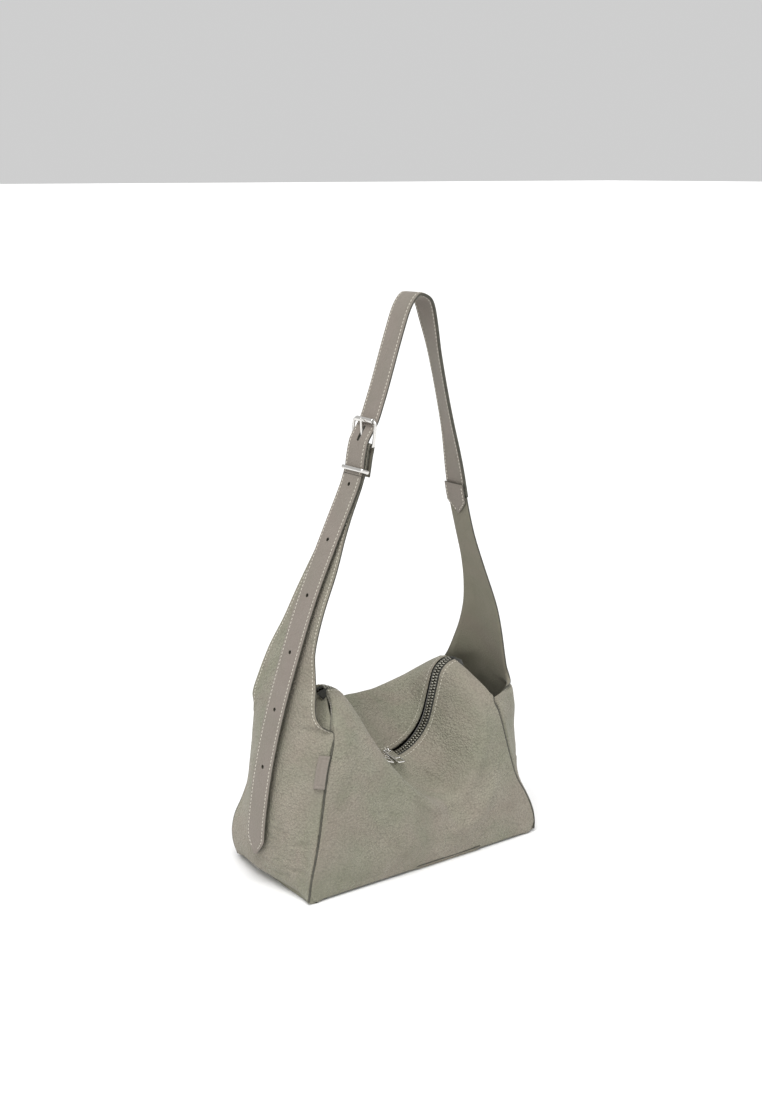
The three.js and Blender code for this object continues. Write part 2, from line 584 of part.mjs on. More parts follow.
function addStrap() {
  const tail = curveThrough([...TAIL_LINE, [STRAP_SPLIT[0] - 0.1, 0, STRAP_SPLIT[1] - 0.4]]);
  const first = tail.getLength() - 8.5;
  const holes = [0, 1, 2, 3, 4, 5].map((k) => first - k * HOLE_PITCH);
  const blank = sheet(strapSurface(tail, 16), 34, 1, STRAP_LEATHER, 1);
  addPiece("strap_tail", punched(tail, blank, holes, HOLE_RADIUS), STRAP_FINISH);

  const strap = curveThrough([[STRAP_SPLIT[0], 0, STRAP_SPLIT[1]], ...STRAP_LINE]);
  const body = sheet(strapSurface(strap), 80, 1, STRAP_LEATHER, 1);
  // the hole in use has stretched along the strap, where the prong slants through it
  const worn = [-4, -3, -2, -1, 0, 1, 2].map((k) => PRONG_HOLE + k * 1.9);
  addPiece("shoulder_strap", punched(strap, body, worn, HOLE_RADIUS), STRAP_FINISH);

  // a patch on the inner side covers the joint between the strap and the right wing
  const inside = WING_LEATHER + GAP + 1.4;
  const joint = curveThrough([[82.5, 0, 294], [79.5, 0, 305], [77.2, 0, 314], [75, 0, 325]]);
  const total = joint.getLength();
  const patch = (u, v) => {
    const halfWidth = 12.4 * Math.min(1, 0.12 + (u * total) / 12);
    const direction = joint.getTangentAt(u);
    const normal = new THREE.Vector3(-direction.z, 0, direction.x);
    return joint.getPointAt(u).addScaledVector(normal, inside).setY((2 * v - 1) * halfWidth);
  };
  addPiece("strap_patch", sheet(patch, 12, 1, 1.2, -1), STRAP_FINISH);
}

addStrap();

// ---- buckle and keeper ----
addPiece("buckle_frame", wireLoop(HEEL_BAR, ROLLER_BAR, BUCKLE_HALF_WIDTH, BUCKLE_WIRE), NICKEL);

function addRoller() {
  const half = 11.8;
  const bore = BUCKLE_WIRE + 0.3;
  const profile = [
    [bore, -half], [ROLLER_RADIUS, -half], [ROLLER_RADIUS, half], [bore, half], [bore, -half]];
  const roller = new THREE.LatheGeometry(profile.map((p) => new THREE.Vector2(...p)), 20)
    .translate(ROLLER_BAR.x, 0, ROLLER_BAR.z);
  addPiece("buckle_roller", roller, NICKEL);
}

addRoller();
addPiece("strap_keeper", wireLoop(KEEPER_FRONT, KEEPER_BACK, KEEPER_HALF_WIDTH, KEEPER_WIRE), NICKEL);

// The prong turns on the heel bar, slants out through the strap's hole and rests on the roller.
function addProng() {
  const bore = BUCKLE_WIRE + 0.3;
  const width = 1.6;
  const profile = [
    [bore, -width], [bore + 1.2, -width], [bore + 1.2, width], [bore, width], [bore, -width]];
  const eye = new THREE.LatheGeometry(profile.map((p) => new THREE.Vector2(...p)), 16)
    .translate(HEEL_BAR.x, 0, HEEL_BAR.z);
  const root = [HEEL_BAR.x + 0.5, 0, HEEL_BAR.z + 2.2];
  const tip = [ROLLER_BAR.x - 4.1, 0, ROLLER_BAR.z + 1.6];
  addPiece("buckle_prong", joined([eye, rod(root, tip, 1.1), ball(tip, 1.12)]), NICKEL);
}

addProng();

// ---- small folded tab sewn into the front left seam ----
function addSideTab() {
  const low = 97;
  const high = 123;
  const gusset = endSurface(LEFT_END, 1, low, high);
  const patch = (u, v) => gusset(u, 0.09 * v);
  addPiece("side_tab", sheet(offsetSurface(patch, 2.6, 1), 4, 2, 2.2, 1), NUBUCK);
}

addSideTab();

export default bag;
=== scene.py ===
import math
import random

import bpy
import numpy as np
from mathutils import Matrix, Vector, noise


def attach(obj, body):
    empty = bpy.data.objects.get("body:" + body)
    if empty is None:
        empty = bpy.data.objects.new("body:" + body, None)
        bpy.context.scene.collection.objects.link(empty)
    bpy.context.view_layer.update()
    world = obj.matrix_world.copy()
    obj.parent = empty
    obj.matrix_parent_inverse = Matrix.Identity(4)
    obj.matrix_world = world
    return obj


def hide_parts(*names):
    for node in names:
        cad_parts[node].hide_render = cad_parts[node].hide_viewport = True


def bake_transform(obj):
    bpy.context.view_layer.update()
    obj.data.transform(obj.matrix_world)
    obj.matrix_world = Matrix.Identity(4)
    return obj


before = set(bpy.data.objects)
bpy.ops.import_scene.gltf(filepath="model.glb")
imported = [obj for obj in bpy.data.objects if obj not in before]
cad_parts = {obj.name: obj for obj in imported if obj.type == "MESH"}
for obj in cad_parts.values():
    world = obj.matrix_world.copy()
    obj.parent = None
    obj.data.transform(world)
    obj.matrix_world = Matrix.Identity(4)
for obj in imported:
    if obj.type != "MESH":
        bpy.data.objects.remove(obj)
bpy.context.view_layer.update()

# All shapes below are worked out in millimetres, +Z up, -Y to the front, and scaled once when a mesh is made.
MM = 0.001
random.seed(7)

# ---------------------------------------------------------------- driving dimensions
LEATHER = 1.6
WING_LEATHER = 1.4
STRAP_LEATHER = 2.5
PANEL_FOOT = 0.6
STRAP_HALF = 13.0
BASE_LEATHER = 1.8
FLOOR_GAP = 0.1
HOLE_PITCH = 50.0
HOLE_RADIUS = 1.7
VALLEY_RADIUS = 46.0
VALLEY_CENTRE_Z = 130.0
VALLEY_HALF_ANGLE = math.radians(75)
FLANK = 32.0
PEAK_RADIUS = 18.0
ZIP_HALF = 126.8
SLIDER_REST = {"right": math.radians(-4.8), "left": math.radians(-21.2)}
PULLER_HANG = math.radians(10)
HEEL_BAR = np.array([-28.5, 0.0, 368.5])
ROLLER_BAR = np.array([-25.8, 0.0, 390.0])
KEEPER_FRONT = np.array([-40.2, 0.0, 350.2])
KEEPER_BACK = np.array([-32.3, 0.0, 347.3])


# ---------------------------------------------------------------- curves and grids
def smooth(pairs):
    """Smooth function through (input, value) pairs, constant beyond them."""
    xs = np.array([p[0] for p in pairs], float)
    ys = np.array([p[1] for p in pairs], float)
    last = len(xs) - 1
    slopes = np.array([(ys[min(k + 1, last)] - ys[max(k - 1, 0)]) / (xs[min(k + 1, last)] - xs[max(k - 1, 0)])
                       for k in range(last + 1)])

    def value(x):
        x = np.clip(np.asarray(x, float), xs[0], xs[-1])
        k = np.clip(np.searchsorted(xs, x, side="right") - 1, 0, last - 1)
        width = xs[k + 1] - xs[k]
        t = (x - xs[k]) / width
        return ((2 * t**3 - 3 * t**2 + 1) * ys[k] + (t**3 - 2 * t**2 + t) * slopes[k] * width
                + (3 * t**2 - 2 * t**3) * ys[k + 1] + (t**3 - t**2) * slopes[k + 1] * width)

    return value


def arc_marks(points):
    """Length along a line at each of its points."""
    return np.concatenate([[0], np.cumsum(np.linalg.norm(np.diff(points, axis=0), axis=1))])


def read_off(s, marks, values):
    """Values at a length, or at lengths, along a line."""
    return np.stack([np.interp(s, marks, values[:, axis]) for axis in range(3)], axis=-1)


class Path:
    """A smooth curve through points, read by length along it."""

    def __init__(self, points, samples=40):
        p = np.array(points, float)
        knots = np.concatenate([[0], np.cumsum(np.linalg.norm(np.diff(p, axis=0), axis=1) ** 0.5)])
        fine = np.concatenate([np.linspace(knots[k], knots[k + 1], samples, endpoint=False)
                               for k in range(len(p) - 1)] + [[knots[-1]]])
        self.points = np.stack([smooth(list(zip(knots, p[:, axis])))(fine) for axis in range(3)], axis=1)
        self.marks = arc_marks(self.points)
        self.length = self.marks[-1]

    def at(self, s):
        return read_off(s, self.marks, self.points)

    def along(self, s):
        d = self.at(np.asarray(s) + 0.4) - self.at(np.asarray(s) - 0.4)
        return d / np.linalg.norm(d, axis=-1, keepdims=True)


def unit(v):
    return v / np.maximum(np.linalg.norm(v, axis=-1, keepdims=True), 1e-9)


def grid_normals(grid, side):
    du = np.gradient(grid, axis=0)
    dv = np.gradient(grid, axis=1)
    return unit(np.cross(du, dv)) * side


def row_marks(grid):
    """Length along each row of a grid at each of its points."""
    steps = np.linalg.norm(np.diff(grid, axis=1), axis=-1)
    return np.concatenate([np.zeros((len(grid), 1)), np.cumsum(steps, axis=1)], axis=1)


def wobble(grid, wavelength, amplitude, seed, octaves=2, stretch=(1, 1, 1)):
    """Smooth noise at each point of a grid, in millimetres."""
    flat = grid.reshape(-1, 3) * np.array(stretch) / wavelength + seed
    values = [noise.fractal(Vector(p), 0.8, 2.0, octaves) for p in flat]
    return amplitude * np.array(values).reshape(grid.shape[:2])


def ease(x, low, high):
    t = np.clip((np.asarray(x, float) - low) / (high - low), 0, 1)
    return t * t * (3 - 2 * t)


def edge_spacing(count, tight=0.35):
    """Parameters from 0 to 1 that crowd together near both ends."""
    t = np.linspace(0, 1, count)
    return (1 - tight) * t + tight * (0.5 - 0.5 * np.cos(math.pi * t))


# ---------------------------------------------------------------- mesh making
def linked(name, data):
    """New object in the scene."""
    obj = bpy.data.objects.new(name, data)
    bpy.context.scene.collection.objects.link(obj)
    return obj


def new_object(name, verts, faces, materials, face_materials=None, shade_smooth=True):
    mesh = bpy.data.meshes.new(name)
    mesh.from_pydata((np.asarray(verts, float) * MM).tolist(), [], [tuple(int(i) for i in f) for f in faces])
    for material in materials:
        mesh.materials.append(material)
    if face_materials is not None:
        mesh.polygons.foreach_set("material_index", np.asarray(face_materials, np.int32))
    mesh.polygons.foreach_set("use_smooth", [shade_smooth] * len(mesh.polygons))
    mesh.validate()
    mesh.update()
    return linked(name, mesh)


def place(obj, body, slot, *nodes):
    """Fix a finished piece to a body; a piece given two bodies and bend points only has its transform baked
    into its mesh.
    """
    if isinstance(body, str):
        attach(obj, body)
    else:
        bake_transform(obj)
    if nodes:
        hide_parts(*nodes)
    return obj


def closed_sheet(name, outer, thickness, side, materials, edge_bulge=0.35):
    """Closed leather sheet: an outer grid, the same set back, and a rounded cut edge between them.
    materials are those of the outer face, the inner face and the cut edge."""
    normals = grid_normals(outer, side)
    inner = outer - normals * thickness
    nu, nv = outer.shape[:2]
    verts = [outer.reshape(-1, 3), inner.reshape(-1, 3)]
    base = nu * nv
    ring = ([(i, 0) for i in range(nu)] + [(nu - 1, j) for j in range(1, nv)]
            + [(i, nv - 1) for i in range(nu - 2, -1, -1)] + [(0, j) for j in range(nv - 2, 0, -1)])
    ring = np.array(ring)
    middle = (outer + inner)[ring[:, 0], ring[:, 1]] / 2
    neighbours = np.clip(ring + np.array([(1 if i == 0 else -1 if i == nu - 1 else 0,
                                           1 if j == 0 else -1 if j == nv - 1 else 0) for i, j in ring]), 0,
                         [nu - 1, nv - 1])
    outward = unit(middle - (outer + inner)[neighbours[:, 0], neighbours[:, 1]] / 2)
    verts.append(middle + outward * edge_bulge * thickness)
    faces, mats = [], []
    index = lambda face, i, j: face * base + i * nv + j
    for i in range(nu - 1):
        for j in range(nv - 1):
            q = [index(0, i, j), index(0, i + 1, j), index(0, i + 1, j + 1), index(0, i, j + 1)]
            r = [index(1, i, j), index(1, i, j + 1), index(1, i + 1, j + 1), index(1, i + 1, j)]
            faces += [q, r] if side > 0 else [q[::-1], r[::-1]]
            mats += [0, 1]
    count = len(ring)
    for k in range(count):
        a, b = ring[k], ring[(k + 1) % count]
        o0, o1 = index(0, *a), index(0, *b)
        i0, i1 = index(1, *a), index(1, *b)
        m0, m1 = 2 * base + k, 2 * base + (k + 1) % count
        upper, lower = [o0, m0, m1, o1], [m0, i0, i1, m1]
        faces += [upper, lower] if side > 0 else [upper[::-1], lower[::-1]]
        mats += [2, 2]
    verts = np.concatenate(verts)
    verts[:, 2] = np.maximum(verts[:, 2], FLOOR_GAP)  # nothing hangs below the floor
    return new_object(name, verts, faces, materials, mats)


def add_sheet(name, outer, thickness, side, materials, body, slot, *nodes):
    """Closed sheet, fixed to its body."""
    place(closed_sheet(name, outer, thickness, side, materials), body, slot, *nodes)


def band_faces(rings, count, closed=False):
    """Quads between each ring of points and the next."""
    faces = []
    for i in range(rings if closed else rings - 1):
        j = (i + 1) % rings
        for k in range(count):
            m = (k + 1) % count
            faces.append([i * count + k, i * count + m, j * count + m, j * count + k])
    return faces


def end_caps(rings, count):
    """The faces that close the first and the last ring."""
    return [list(range(count))[::-1], [(rings - 1) * count + k for k in range(count)]]


def tube_mesh(points, radii, sides, closed=False, flat=(1.0, 1.0), up=(0, 1, 0)):
    """Vertices and faces of a tube along points, with an oval section."""
    p = np.array(points, float)
    n = len(p)
    if closed:
        tangent = unit(np.roll(p, -1, axis=0) - np.roll(p, 1, axis=0))
    else:
        tangent = unit(np.gradient(p, axis=0))
    side_dir = unit(np.cross(tangent, np.array(up, float)))
    up_dir = np.cross(side_dir, tangent)
    radii = np.broadcast_to(np.asarray(radii, float), (n,))[:, None, None]
    angles = np.arange(sides) * 2 * math.pi / sides
    wide = flat[0] * np.cos(angles)[None, :, None] * side_dir[:, None, :]
    tall = flat[1] * np.sin(angles)[None, :, None] * up_dir[:, None, :]
    verts = (p[:, None, :] + radii * (wide + tall)).reshape(-1, 3)
    faces = band_faces(n, sides, closed)
    return verts, faces if closed else faces + end_caps(n, sides)


def merge(parts):
    """One vertex list and one face list from several."""
    verts, faces, start = [], [], 0
    for v, f in parts:
        verts.append(np.asarray(v, float))
        faces += [[i + start for i in face] for face in f]
        start += len(v)
    return np.concatenate(verts), faces


def rounded_box(size, chamfer):
    """Box with every edge cut off, centred on the origin: 24 corners, 26 faces."""
    half = np.array(size, float) / 2
    octants = [(sx, sy, sz) for sx in (-1, 1) for sy in (-1, 1) for sz in (-1, 1)]
    verts = []
    for octant in octants:
        corner = half * octant
        for axis in range(3):
            point = corner - np.array(octant) * chamfer
            point[axis] = corner[axis]
            verts.append(point)
    index = lambda sx, sy, sz, axis: 3 * (4 * (sx > 0) + 2 * (sy > 0) + (sz > 0)) + axis
    faces = []
    for axis in range(3):
        b, c = (axis + 1) % 3, (axis + 2) % 3
        for s in (-1, 1):
            loop = []
            for tb, tc in ((-1, -1), (1, -1), (1, 1), (-1, 1)):
                signs = [0, 0, 0]
                signs[axis], signs[b], signs[c] = s, tb, tc
                loop.append(index(*signs, axis))
            faces.append(loop if s > 0 else loop[::-1])
            for t in (-1, 1):
                low, high = [0, 0, 0], [0, 0, 0]
                low[axis] = high[axis] = s
                low[b] = high[b] = t
                low[c], high[c] = -1, 1
                strip = [index(*low, axis), index(*high, axis), index(*high, b), index(*low, b)]
                faces.append(strip if s * t > 0 else strip[::-1])
    for octant in octants:
        triangle = [index(*octant, axis) for axis in range(3)]
        faces.append(triangle if math.prod(octant) > 0 else triangle[::-1])
    return np.array(verts), faces


def in_frame(verts, centre, x_axis, y_axis, z_axis):
    return centre + verts @ np.array([x_axis, y_axis, z_axis])


# ---------------------------------------------------------------- materials
class Nodes:
    """Short way to write a node tree."""

    def __init__(self, name):
        self.material = bpy.data.materials.new(name)
        self.material.use_nodes = True
        self.tree = self.material.node_tree
        self.tree.nodes.clear()
        self.output = self.tree.nodes.new("ShaderNodeOutputMaterial")
        self.shader = self.tree.nodes.new("ShaderNodeBsdfPrincipled")
        self.link(self.shader.outputs[0], self.output.inputs["Surface"])
        self.place = self.tree.nodes.new("ShaderNodeTexCoord").outputs["Object"]

    def link(self, a, b):
        self.tree.links.new(a, b)

    def feed(self, socket, value):
        """Link a socket to an input, or set the input's value."""
        if isinstance(value, bpy.types.NodeSocket):
            self.link(value, socket)
        else:
            socket.default_value = value

    def node(self, kind, inputs, **settings):
        n = self.tree.nodes.new(kind)
        for key, value in settings.items():
            setattr(n, key, value)
        for key, value in inputs.items():
            self.feed(n.inputs[key], value)
        return n

    def noise(self, scale, detail=3.0, roughness=0.55, distortion=0.0, vector=None):
        inputs = {"Vector": vector or self.place, "Scale": scale, "Detail": detail, "Roughness": roughness,
                  "Distortion": distortion}
        return self.node("ShaderNodeTexNoise", inputs).outputs["Fac"]

    def cells(self, scale, vector):
        inputs = {"Vector": vector, "Scale": scale, "Smoothness": 0.35}
        return self.node("ShaderNodeTexVoronoi", inputs, feature="SMOOTH_F1").outputs["Distance"]

    def span(self, value, low, high, to_low=0.0, to_high=1.0):
        inputs = {"Value": value, "From Min": low, "From Max": high, "To Min": to_low, "To Max": to_high}
        return self.node("ShaderNodeMapRange", inputs).outputs["Result"]

    def math(self, operation, a, b):
        return self.node("ShaderNodeMath", {0: a, 1: b}, operation=operation).outputs[0]

    def mix(self, factor, a, b, blend="MIX"):
        n = self.node("ShaderNodeMix", {}, data_type="RGBA", blend_type=blend)
        for socket, value in ((n.inputs[0], factor), (n.inputs[6], a), (n.inputs[7], b)):
            self.feed(socket, value)
        return n.outputs[2]

    def bump(self, height, strength, distance, normal=None):
        inputs = {"Height": height, "Strength": strength, "Distance": distance}
        if normal:
            inputs["Normal"] = normal
        return self.node("ShaderNodeBump", inputs).outputs["Normal"]

    def finish(self, color=None, roughness=None, normal=None, **constants):
        for key, value in (("Base Color", color), ("Roughness", roughness), ("Normal", normal)):
            if value is not None:
                self.feed(self.shader.inputs[key], value)
        for key, value in constants.items():
            self.shader.inputs[key.replace("_", " ").title().replace("Ior", "IOR")].default_value = value
        return self.material


def srgb(r, g, b):
    """Linear colour from 0-255 values as seen on a screen."""
    linear = [((c / 255 + 0.055) / 1.055) ** 2.4 if c > 10 else c / 255 / 12.92 for c in (r, g, b)]
    return (*linear, 1.0)


def leather(name, tones, pebble=1.0, pebble_scale=540, mottling=1.0, roughness=0.78):
    """Nubuck: blotchy colour in three tones, tumbled pebble grain that comes and goes, with painted shade in
    its hollows and painted highlight on its domes, and a fine nap.
    """
    m = Nodes(name)
    greenish, pinkish, light = tones
    shift = m.node("ShaderNodeTexNoise", {"Vector": m.place, "Scale": 220.0, "Detail": 2.0}).outputs["Color"]
    shift = m.node("ShaderNodeVectorMath", {0: shift, 1: (0.0016,) * 3}, operation="MULTIPLY").outputs[0]
    warp = m.node("ShaderNodeVectorMath", {0: m.place, 1: shift}, operation="ADD").outputs[0]
    blotches = m.span(m.noise(15, 4, 0.6, 0.8), 0.38, 0.62)
    clouds = m.span(m.noise(46, 5, 0.65, 0.4), 0.3, 0.72)
    nap = m.span(m.noise(420, 4, 0.7), 0.3, 0.7)
    cells = m.cells(pebble_scale, warp)
    fine = m.cells(pebble_scale * 2.1, warp)
    grain = m.math("ADD", m.math("MULTIPLY", cells, 0.8), m.math("MULTIPLY", fine, 0.3))
    domes = m.math("SUBTRACT", 1.0, grain)
    strength = m.span(m.noise(22, 2, 0.5), 0.34, 0.6, 0.62, 1.0)
    color = m.mix(blotches, greenish, pinkish)
    color = m.mix(m.span(clouds, 0, 1, 0.0, 0.36 * mottling), color, light)
    relief = m.math("MULTIPLY", m.math("MULTIPLY", domes, strength), pebble)
    # painted light and shade: the colour is darkened in the hollows of the pebble grain and lightened on its
    # domes
    painted_grain_shade = m.span(relief, 0.15 * pebble, 0.8 * pebble, 1.0 - 0.24 * pebble, 1.0 + 0.1 * pebble)
    painted_grain_shade_colour = m.node("ShaderNodeCombineColor", {0: painted_grain_shade, 1: painted_grain_shade, 2: painted_grain_shade}).outputs[0]
    color = m.mix(1.0, color, painted_grain_shade_colour, "MULTIPLY")
    color = m.mix(m.span(nap, 0, 1, 0.0, 0.14), color, light)
    height = m.math("ADD", relief, m.math("MULTIPLY", nap, 0.1))
    normal = m.bump(m.noise(120, 3, 0.55), 0.3, 0.0011)
    normal = m.bump(height, 1.0, 0.0013, normal)
    return m.finish(color, m.span(nap, 0, 1, roughness - 0.06, roughness + 0.08), normal,
                    specular_ior_level=0.25, sheen_weight=0.2, sheen_roughness=0.45,
                    sheen_tint=(0.9, 0.88, 0.82, 1))


STRAP_TONES = (srgb(122, 116, 106), srgb(127, 118, 110), srgb(141, 134, 126))
NUBUCK = leather("nubuck", (srgb(128, 128, 110), srgb(138, 130, 117), srgb(164, 159, 146)))
NUBUCK_SMOOTH = leather("nubuck_worn", (srgb(130, 130, 112), srgb(138, 131, 117), srgb(163, 159, 145)),
                        0.5, 620, 1.1)
STRAP = leather("strap_leather", STRAP_TONES, 0.3, 640, 0.8, 0.62)
STRAP_BACK = leather("strap_back", STRAP_TONES, 0.3, 640, 0.8, 0.7)
SUEDE = leather("flesh_side", (srgb(118, 116, 100), srgb(120, 114, 101), srgb(138, 133, 120)),
                0.2, 800, 1.0, 0.88)


def edge_paint():
    m = Nodes("edge_paint")
    color = m.mix(m.span(m.noise(260, 3), 0.3, 0.7), srgb(52, 51, 42), srgb(78, 76, 66))
    return m.finish(color, m.span(m.noise(500, 2), 0.3, 0.7, 0.42, 0.6), m.bump(m.noise(700, 3), 0.3, 0.0002))


def thread():
    m = Nodes("thread")
    twist = m.node("ShaderNodeTexWave", {"Vector": m.place, "Scale": 900.0, "Distortion": 1.5, "Detail": 1.0},
                   bands_direction="DIAGONAL").outputs["Fac"]
    color = m.mix(twist, srgb(186, 181, 166), srgb(222, 218, 204))
    return m.finish(color, 0.7, m.bump(twist, 0.5, 0.0001), sheen_weight=0.3)


def nickel(name, color, rough):
    m = Nodes(name)
    smear = m.span(m.noise(90, 4, 0.6), 0.3, 0.7, rough - 0.04, rough + 0.09)
    scratches = m.noise(1500, 2, 0.5, 0.0, m.node("ShaderNodeMapping", {
        "Vector": m.place, "Scale": (1.0, 0.08, 1.0)}).outputs[0])
    tint = m.mix(m.span(m.noise(60, 2), 0.35, 0.65), color, tuple(c * 0.93 for c in color[:3]) + (1,))
    return m.finish(tint, smear, m.bump(scratches, 0.08, 0.00004), metallic=1.0)


def woven(name, dark, light, scale=1400):
    m = Nodes(name)
    waves = {"Vector": m.place, "Scale": scale / 4, "Distortion": 0.4}
    warp = m.node("ShaderNodeTexWave", waves, bands_direction="X").outputs["Fac"]
    weft = m.node("ShaderNodeTexWave", waves, bands_direction="Y").outputs["Fac"]
    rib = m.math("MULTIPLY", warp, weft)
    color = m.mix(m.math("MULTIPLY", rib, m.noise(300, 2)), dark, light)
    return m.finish(color, 0.9, m.bump(rib, 0.6, 0.0002), sheen_weight=0.2)


EDGE = edge_paint()
THREAD = thread()
NICKEL = nickel("nickel", srgb(226, 224, 220), 0.16)
TEETH = nickel("teeth_metal", srgb(160, 158, 147), 0.34)
TAPE = woven("zip_tape", srgb(38, 38, 34), srgb(74, 73, 66))
LINING = woven("lining", srgb(104, 96, 82), srgb(128, 120, 104), 1000)
BOARD = woven("board", srgb(60, 56, 50), srgb(78, 73, 66), 700)


# ---------------------------------------------------------------- gussets and wings
# An end's outer gusset runs up into the wing. Across it, -1 is its front edge and 1 its back edge.
# line: distance from the middle of the bag; half: half width; cup: how far the edge lies inside the line;
# power: how square the cupped section is. All by height.
GUSSET_LINE = [(0, 133), (29, 139), (66, 136.5), (105, 129)]
GUSSET_BACK = [(0, 60), (39, 59.5), (76, 57.5), (113, 54.5), (128, 52)]
PARABOLA = smooth([(0, 2), (400, 2)])
LEFT_END = {
    "side": -1, "top": 342.0,
    "line": smooth(GUSSET_LINE + [(152, 115.5), (199, 99.7), (245, 82), (289, 61.5), (334, 40.4),
        (348.5, 35.4)]),
    "front_half": smooth([(0, 61), (39, 60.3), (76, 58), (113, 55), (128, 52), (140, 48), (143, 45),
        (146, 42), (152, 36), (162, 32), (173, 28), (186, 25), (203, 22), (230, 21), (262, 20), (275, 18.5),
        (293, 15.5), (317, 13), (380, 13)]),
    "back_half": smooth(GUSSET_BACK + [(143, 49), (155, 48), (170, 45), (185, 42), (199, 38.5), (222, 30),
        (245, 25), (271, 20), (290, 17), (310, 14.5), (340, 13), (380, 13)]),
    "front_cup": smooth([(0, 2.5), (38, 16.8), (76, 21.5), (113, 21.9), (140, 24.9), (143, 19), (146, 14.7),
        (152, 12), (162, 10.4), (173, 10.5), (186, 7.7), (203, 3.5), (230, 1.2), (262, 1), (300, 0),
        (400, 0)]),
    "back_cup": smooth([(0, 9), (18, 8), (40, 11.5), (55, 18), (71, 22), (90, 21), (109, 18), (120, 15),
        (143, 7.5), (153, 3), (163, 1.5), (199, 0.6), (262, 0), (400, 0)]),
    "front_power": PARABOLA,
    "back_power": PARABOLA,
}
RIGHT_END = {
    "side": 1, "top": 312.5,
    "line": smooth(GUSSET_LINE + [(143, 119.5), (160, 116.5), (185, 111.5), (211, 105.4), (251, 94),
        (280, 85.3), (308, 77.9), (327, 74)]),
    "front_half": smooth([(0, 60), (25, 59.5), (55, 58), (88, 56), (112, 54), (136, 48.5), (137.5, 45),
        (139, 38), (142, 31), (148, 26.5), (158, 24.5), (195, 24), (215, 22.5), (252, 16), (280, 12.8),
        (330, 12.5)]),
    "back_half": smooth(GUSSET_BACK + [(143, 48), (147, 45), (155, 40), (170, 33), (190, 24), (215, 16.5),
        (252, 12.8), (330, 12.5)]),
    "front_cup": smooth([(0, 9), (12, 11.5), (25, 17.5), (40, 25), (55, 33), (69, 37), (98, 39.5),
        (124, 39.3), (136, 39), (137.5, 28), (139, 12), (142, 4), (150, 1.5), (262, 0), (400, 0)]),
    "back_cup": smooth([(0, 2), (29, 13.5), (57, 18.6), (95, 21.6), (143, 23.5), (150, 19), (175, 12),
        (215, 5), (262, 0), (400, 0)]),
    "front_power": smooth([(0, 3), (15, 3), (33, 1.8), (50, 1.6), (67, 2), (97, 2.7), (125, 5), (136, 6),
        (140, 3), (150, 2), (400, 2)]),
    "back_power": smooth([(0, 2), (60, 2.5), (120, 3.5), (143, 3.5), (160, 2), (400, 2)]),
}
WING_BEND = ("bag_body", "strap", (0, 0, 0.118), (0, 0, 0.215))


def end_surface(end, z, across):
    """Outer face of a gusset with its wing."""
    front = across < 0
    y = np.where(front, across * end["front_half"](z), across * end["back_half"](z))
    cup = np.where(front, end["front_cup"](z), end["back_cup"](z))
    power = np.where(front, end["front_power"](z), end["back_power"](z))
    x = end["line"](z) - cup * np.abs(across) ** power
    return np.stack([end["side"] * x, y, z], axis=-1)


def roll_in(distance, radius):
    """How far a turned edge has curled in, at a distance from the edge."""
    d = np.clip(distance, 0, radius)
    return radius - np.sqrt(np.maximum(radius**2 - (radius - d) ** 2, 0))


SEAM_ROLL = 3.0
SEAM_DEPTH = 2.2  # of the roll, so that the seam makes a narrow dark groove
PANEL_FOOT_ROLL = 4.5
GUSSET_FOOT_ROLL = 14.0
CORNER_FOOT_ROLL = 4.0
SEWN_TOP = 138.0


def end_grid(end, seed, rows=200, columns=100):
    z = np.concatenate([np.linspace(PANEL_FOOT, 132, rows // 2, endpoint=False),
                        np.linspace(132, 156, rows // 4, endpoint=False),
                        np.linspace(156, end["top"], rows // 4)])
    across = 2 * edge_spacing(columns, 0.55) - 1
    zz, aa = np.meshgrid(z, across, indexing="ij")
    grid = end_surface(end, zz, aa)
    normals = grid_normals(grid, -end["side"])
    edge = 1 - np.abs(aa)
    along = row_marks(grid)
    from_seam = np.minimum(along, along[:, -1:] - along)
    sewn = 1 - ease(zz, SEWN_TOP - 12, SEWN_TOP)
    foot = CORNER_FOOT_ROLL + (GUSSET_FOOT_ROLL - CORNER_FOOT_ROLL) * ease(edge, 0.0, 0.35)
    inward = SEAM_DEPTH * roll_in(from_seam, SEAM_ROLL) * sewn + foot * roll_in((zz - PANEL_FOOT) / foot, 1.0)
    calm = ease(edge, 0.0, 0.12) * (1 - 0.8 * ease(zz, 150, 240))
    swell = wobble(grid, 62, 1.5, seed) + wobble(grid, 23, 0.45, seed + 5) - 0.8
    # short level creases where the lower front of the gusset is squeezed
    squeeze = ease(-aa, -0.15, 0.45) * (1 - ease(zz, 50, 92)) * ease(zz, 4, 18) * ease(edge, 0.02, 0.12)
    creases = -np.abs(wobble(grid, 8.5, 1.7, seed + 9, 3, (0.5, 0.5, 1.7))) * squeeze
    return grid + normals * (swell * calm + creases - inward)[..., None]


left_grid = end_grid(LEFT_END, 1.3)
right_grid = end_grid(RIGHT_END, 4.1)


def add_left_end():
    # above the flared wing the leather folds round the heel bar and comes back down inside
    radius = 3.2
    top = LEFT_END["top"]
    turn = [HEEL_BAR + radius * np.array([math.cos(a), 0, math.sin(a)])
            for a in np.radians([155, 95, 35, -20])]
    fold = Path([(-LEFT_END["line"](top), 0, top), (-35.2, 0, 350), (-33.2, 0, 359), *turn,
                 (-27.2, 0, 360), (-28.8, 0, 351), (-30.2, 0, 343.5)])
    marks = np.linspace(0, fold.length, 46)[1:]
    across = 2 * edge_spacing(left_grid.shape[1], 0.55) - 1
    tail = fold.at(marks)[:, None, :] + np.zeros((1, len(across), 1))
    tail[..., 1] = across[None, :] * STRAP_HALF
    outer = np.concatenate([left_grid, tail])
    add_sheet("left_gusset_and_wing", outer, WING_LEATHER + 0.1, 1, [NUBUCK, SUEDE, EDGE], WING_BEND,
              "nubuck", "left_gusset", "left_wing")


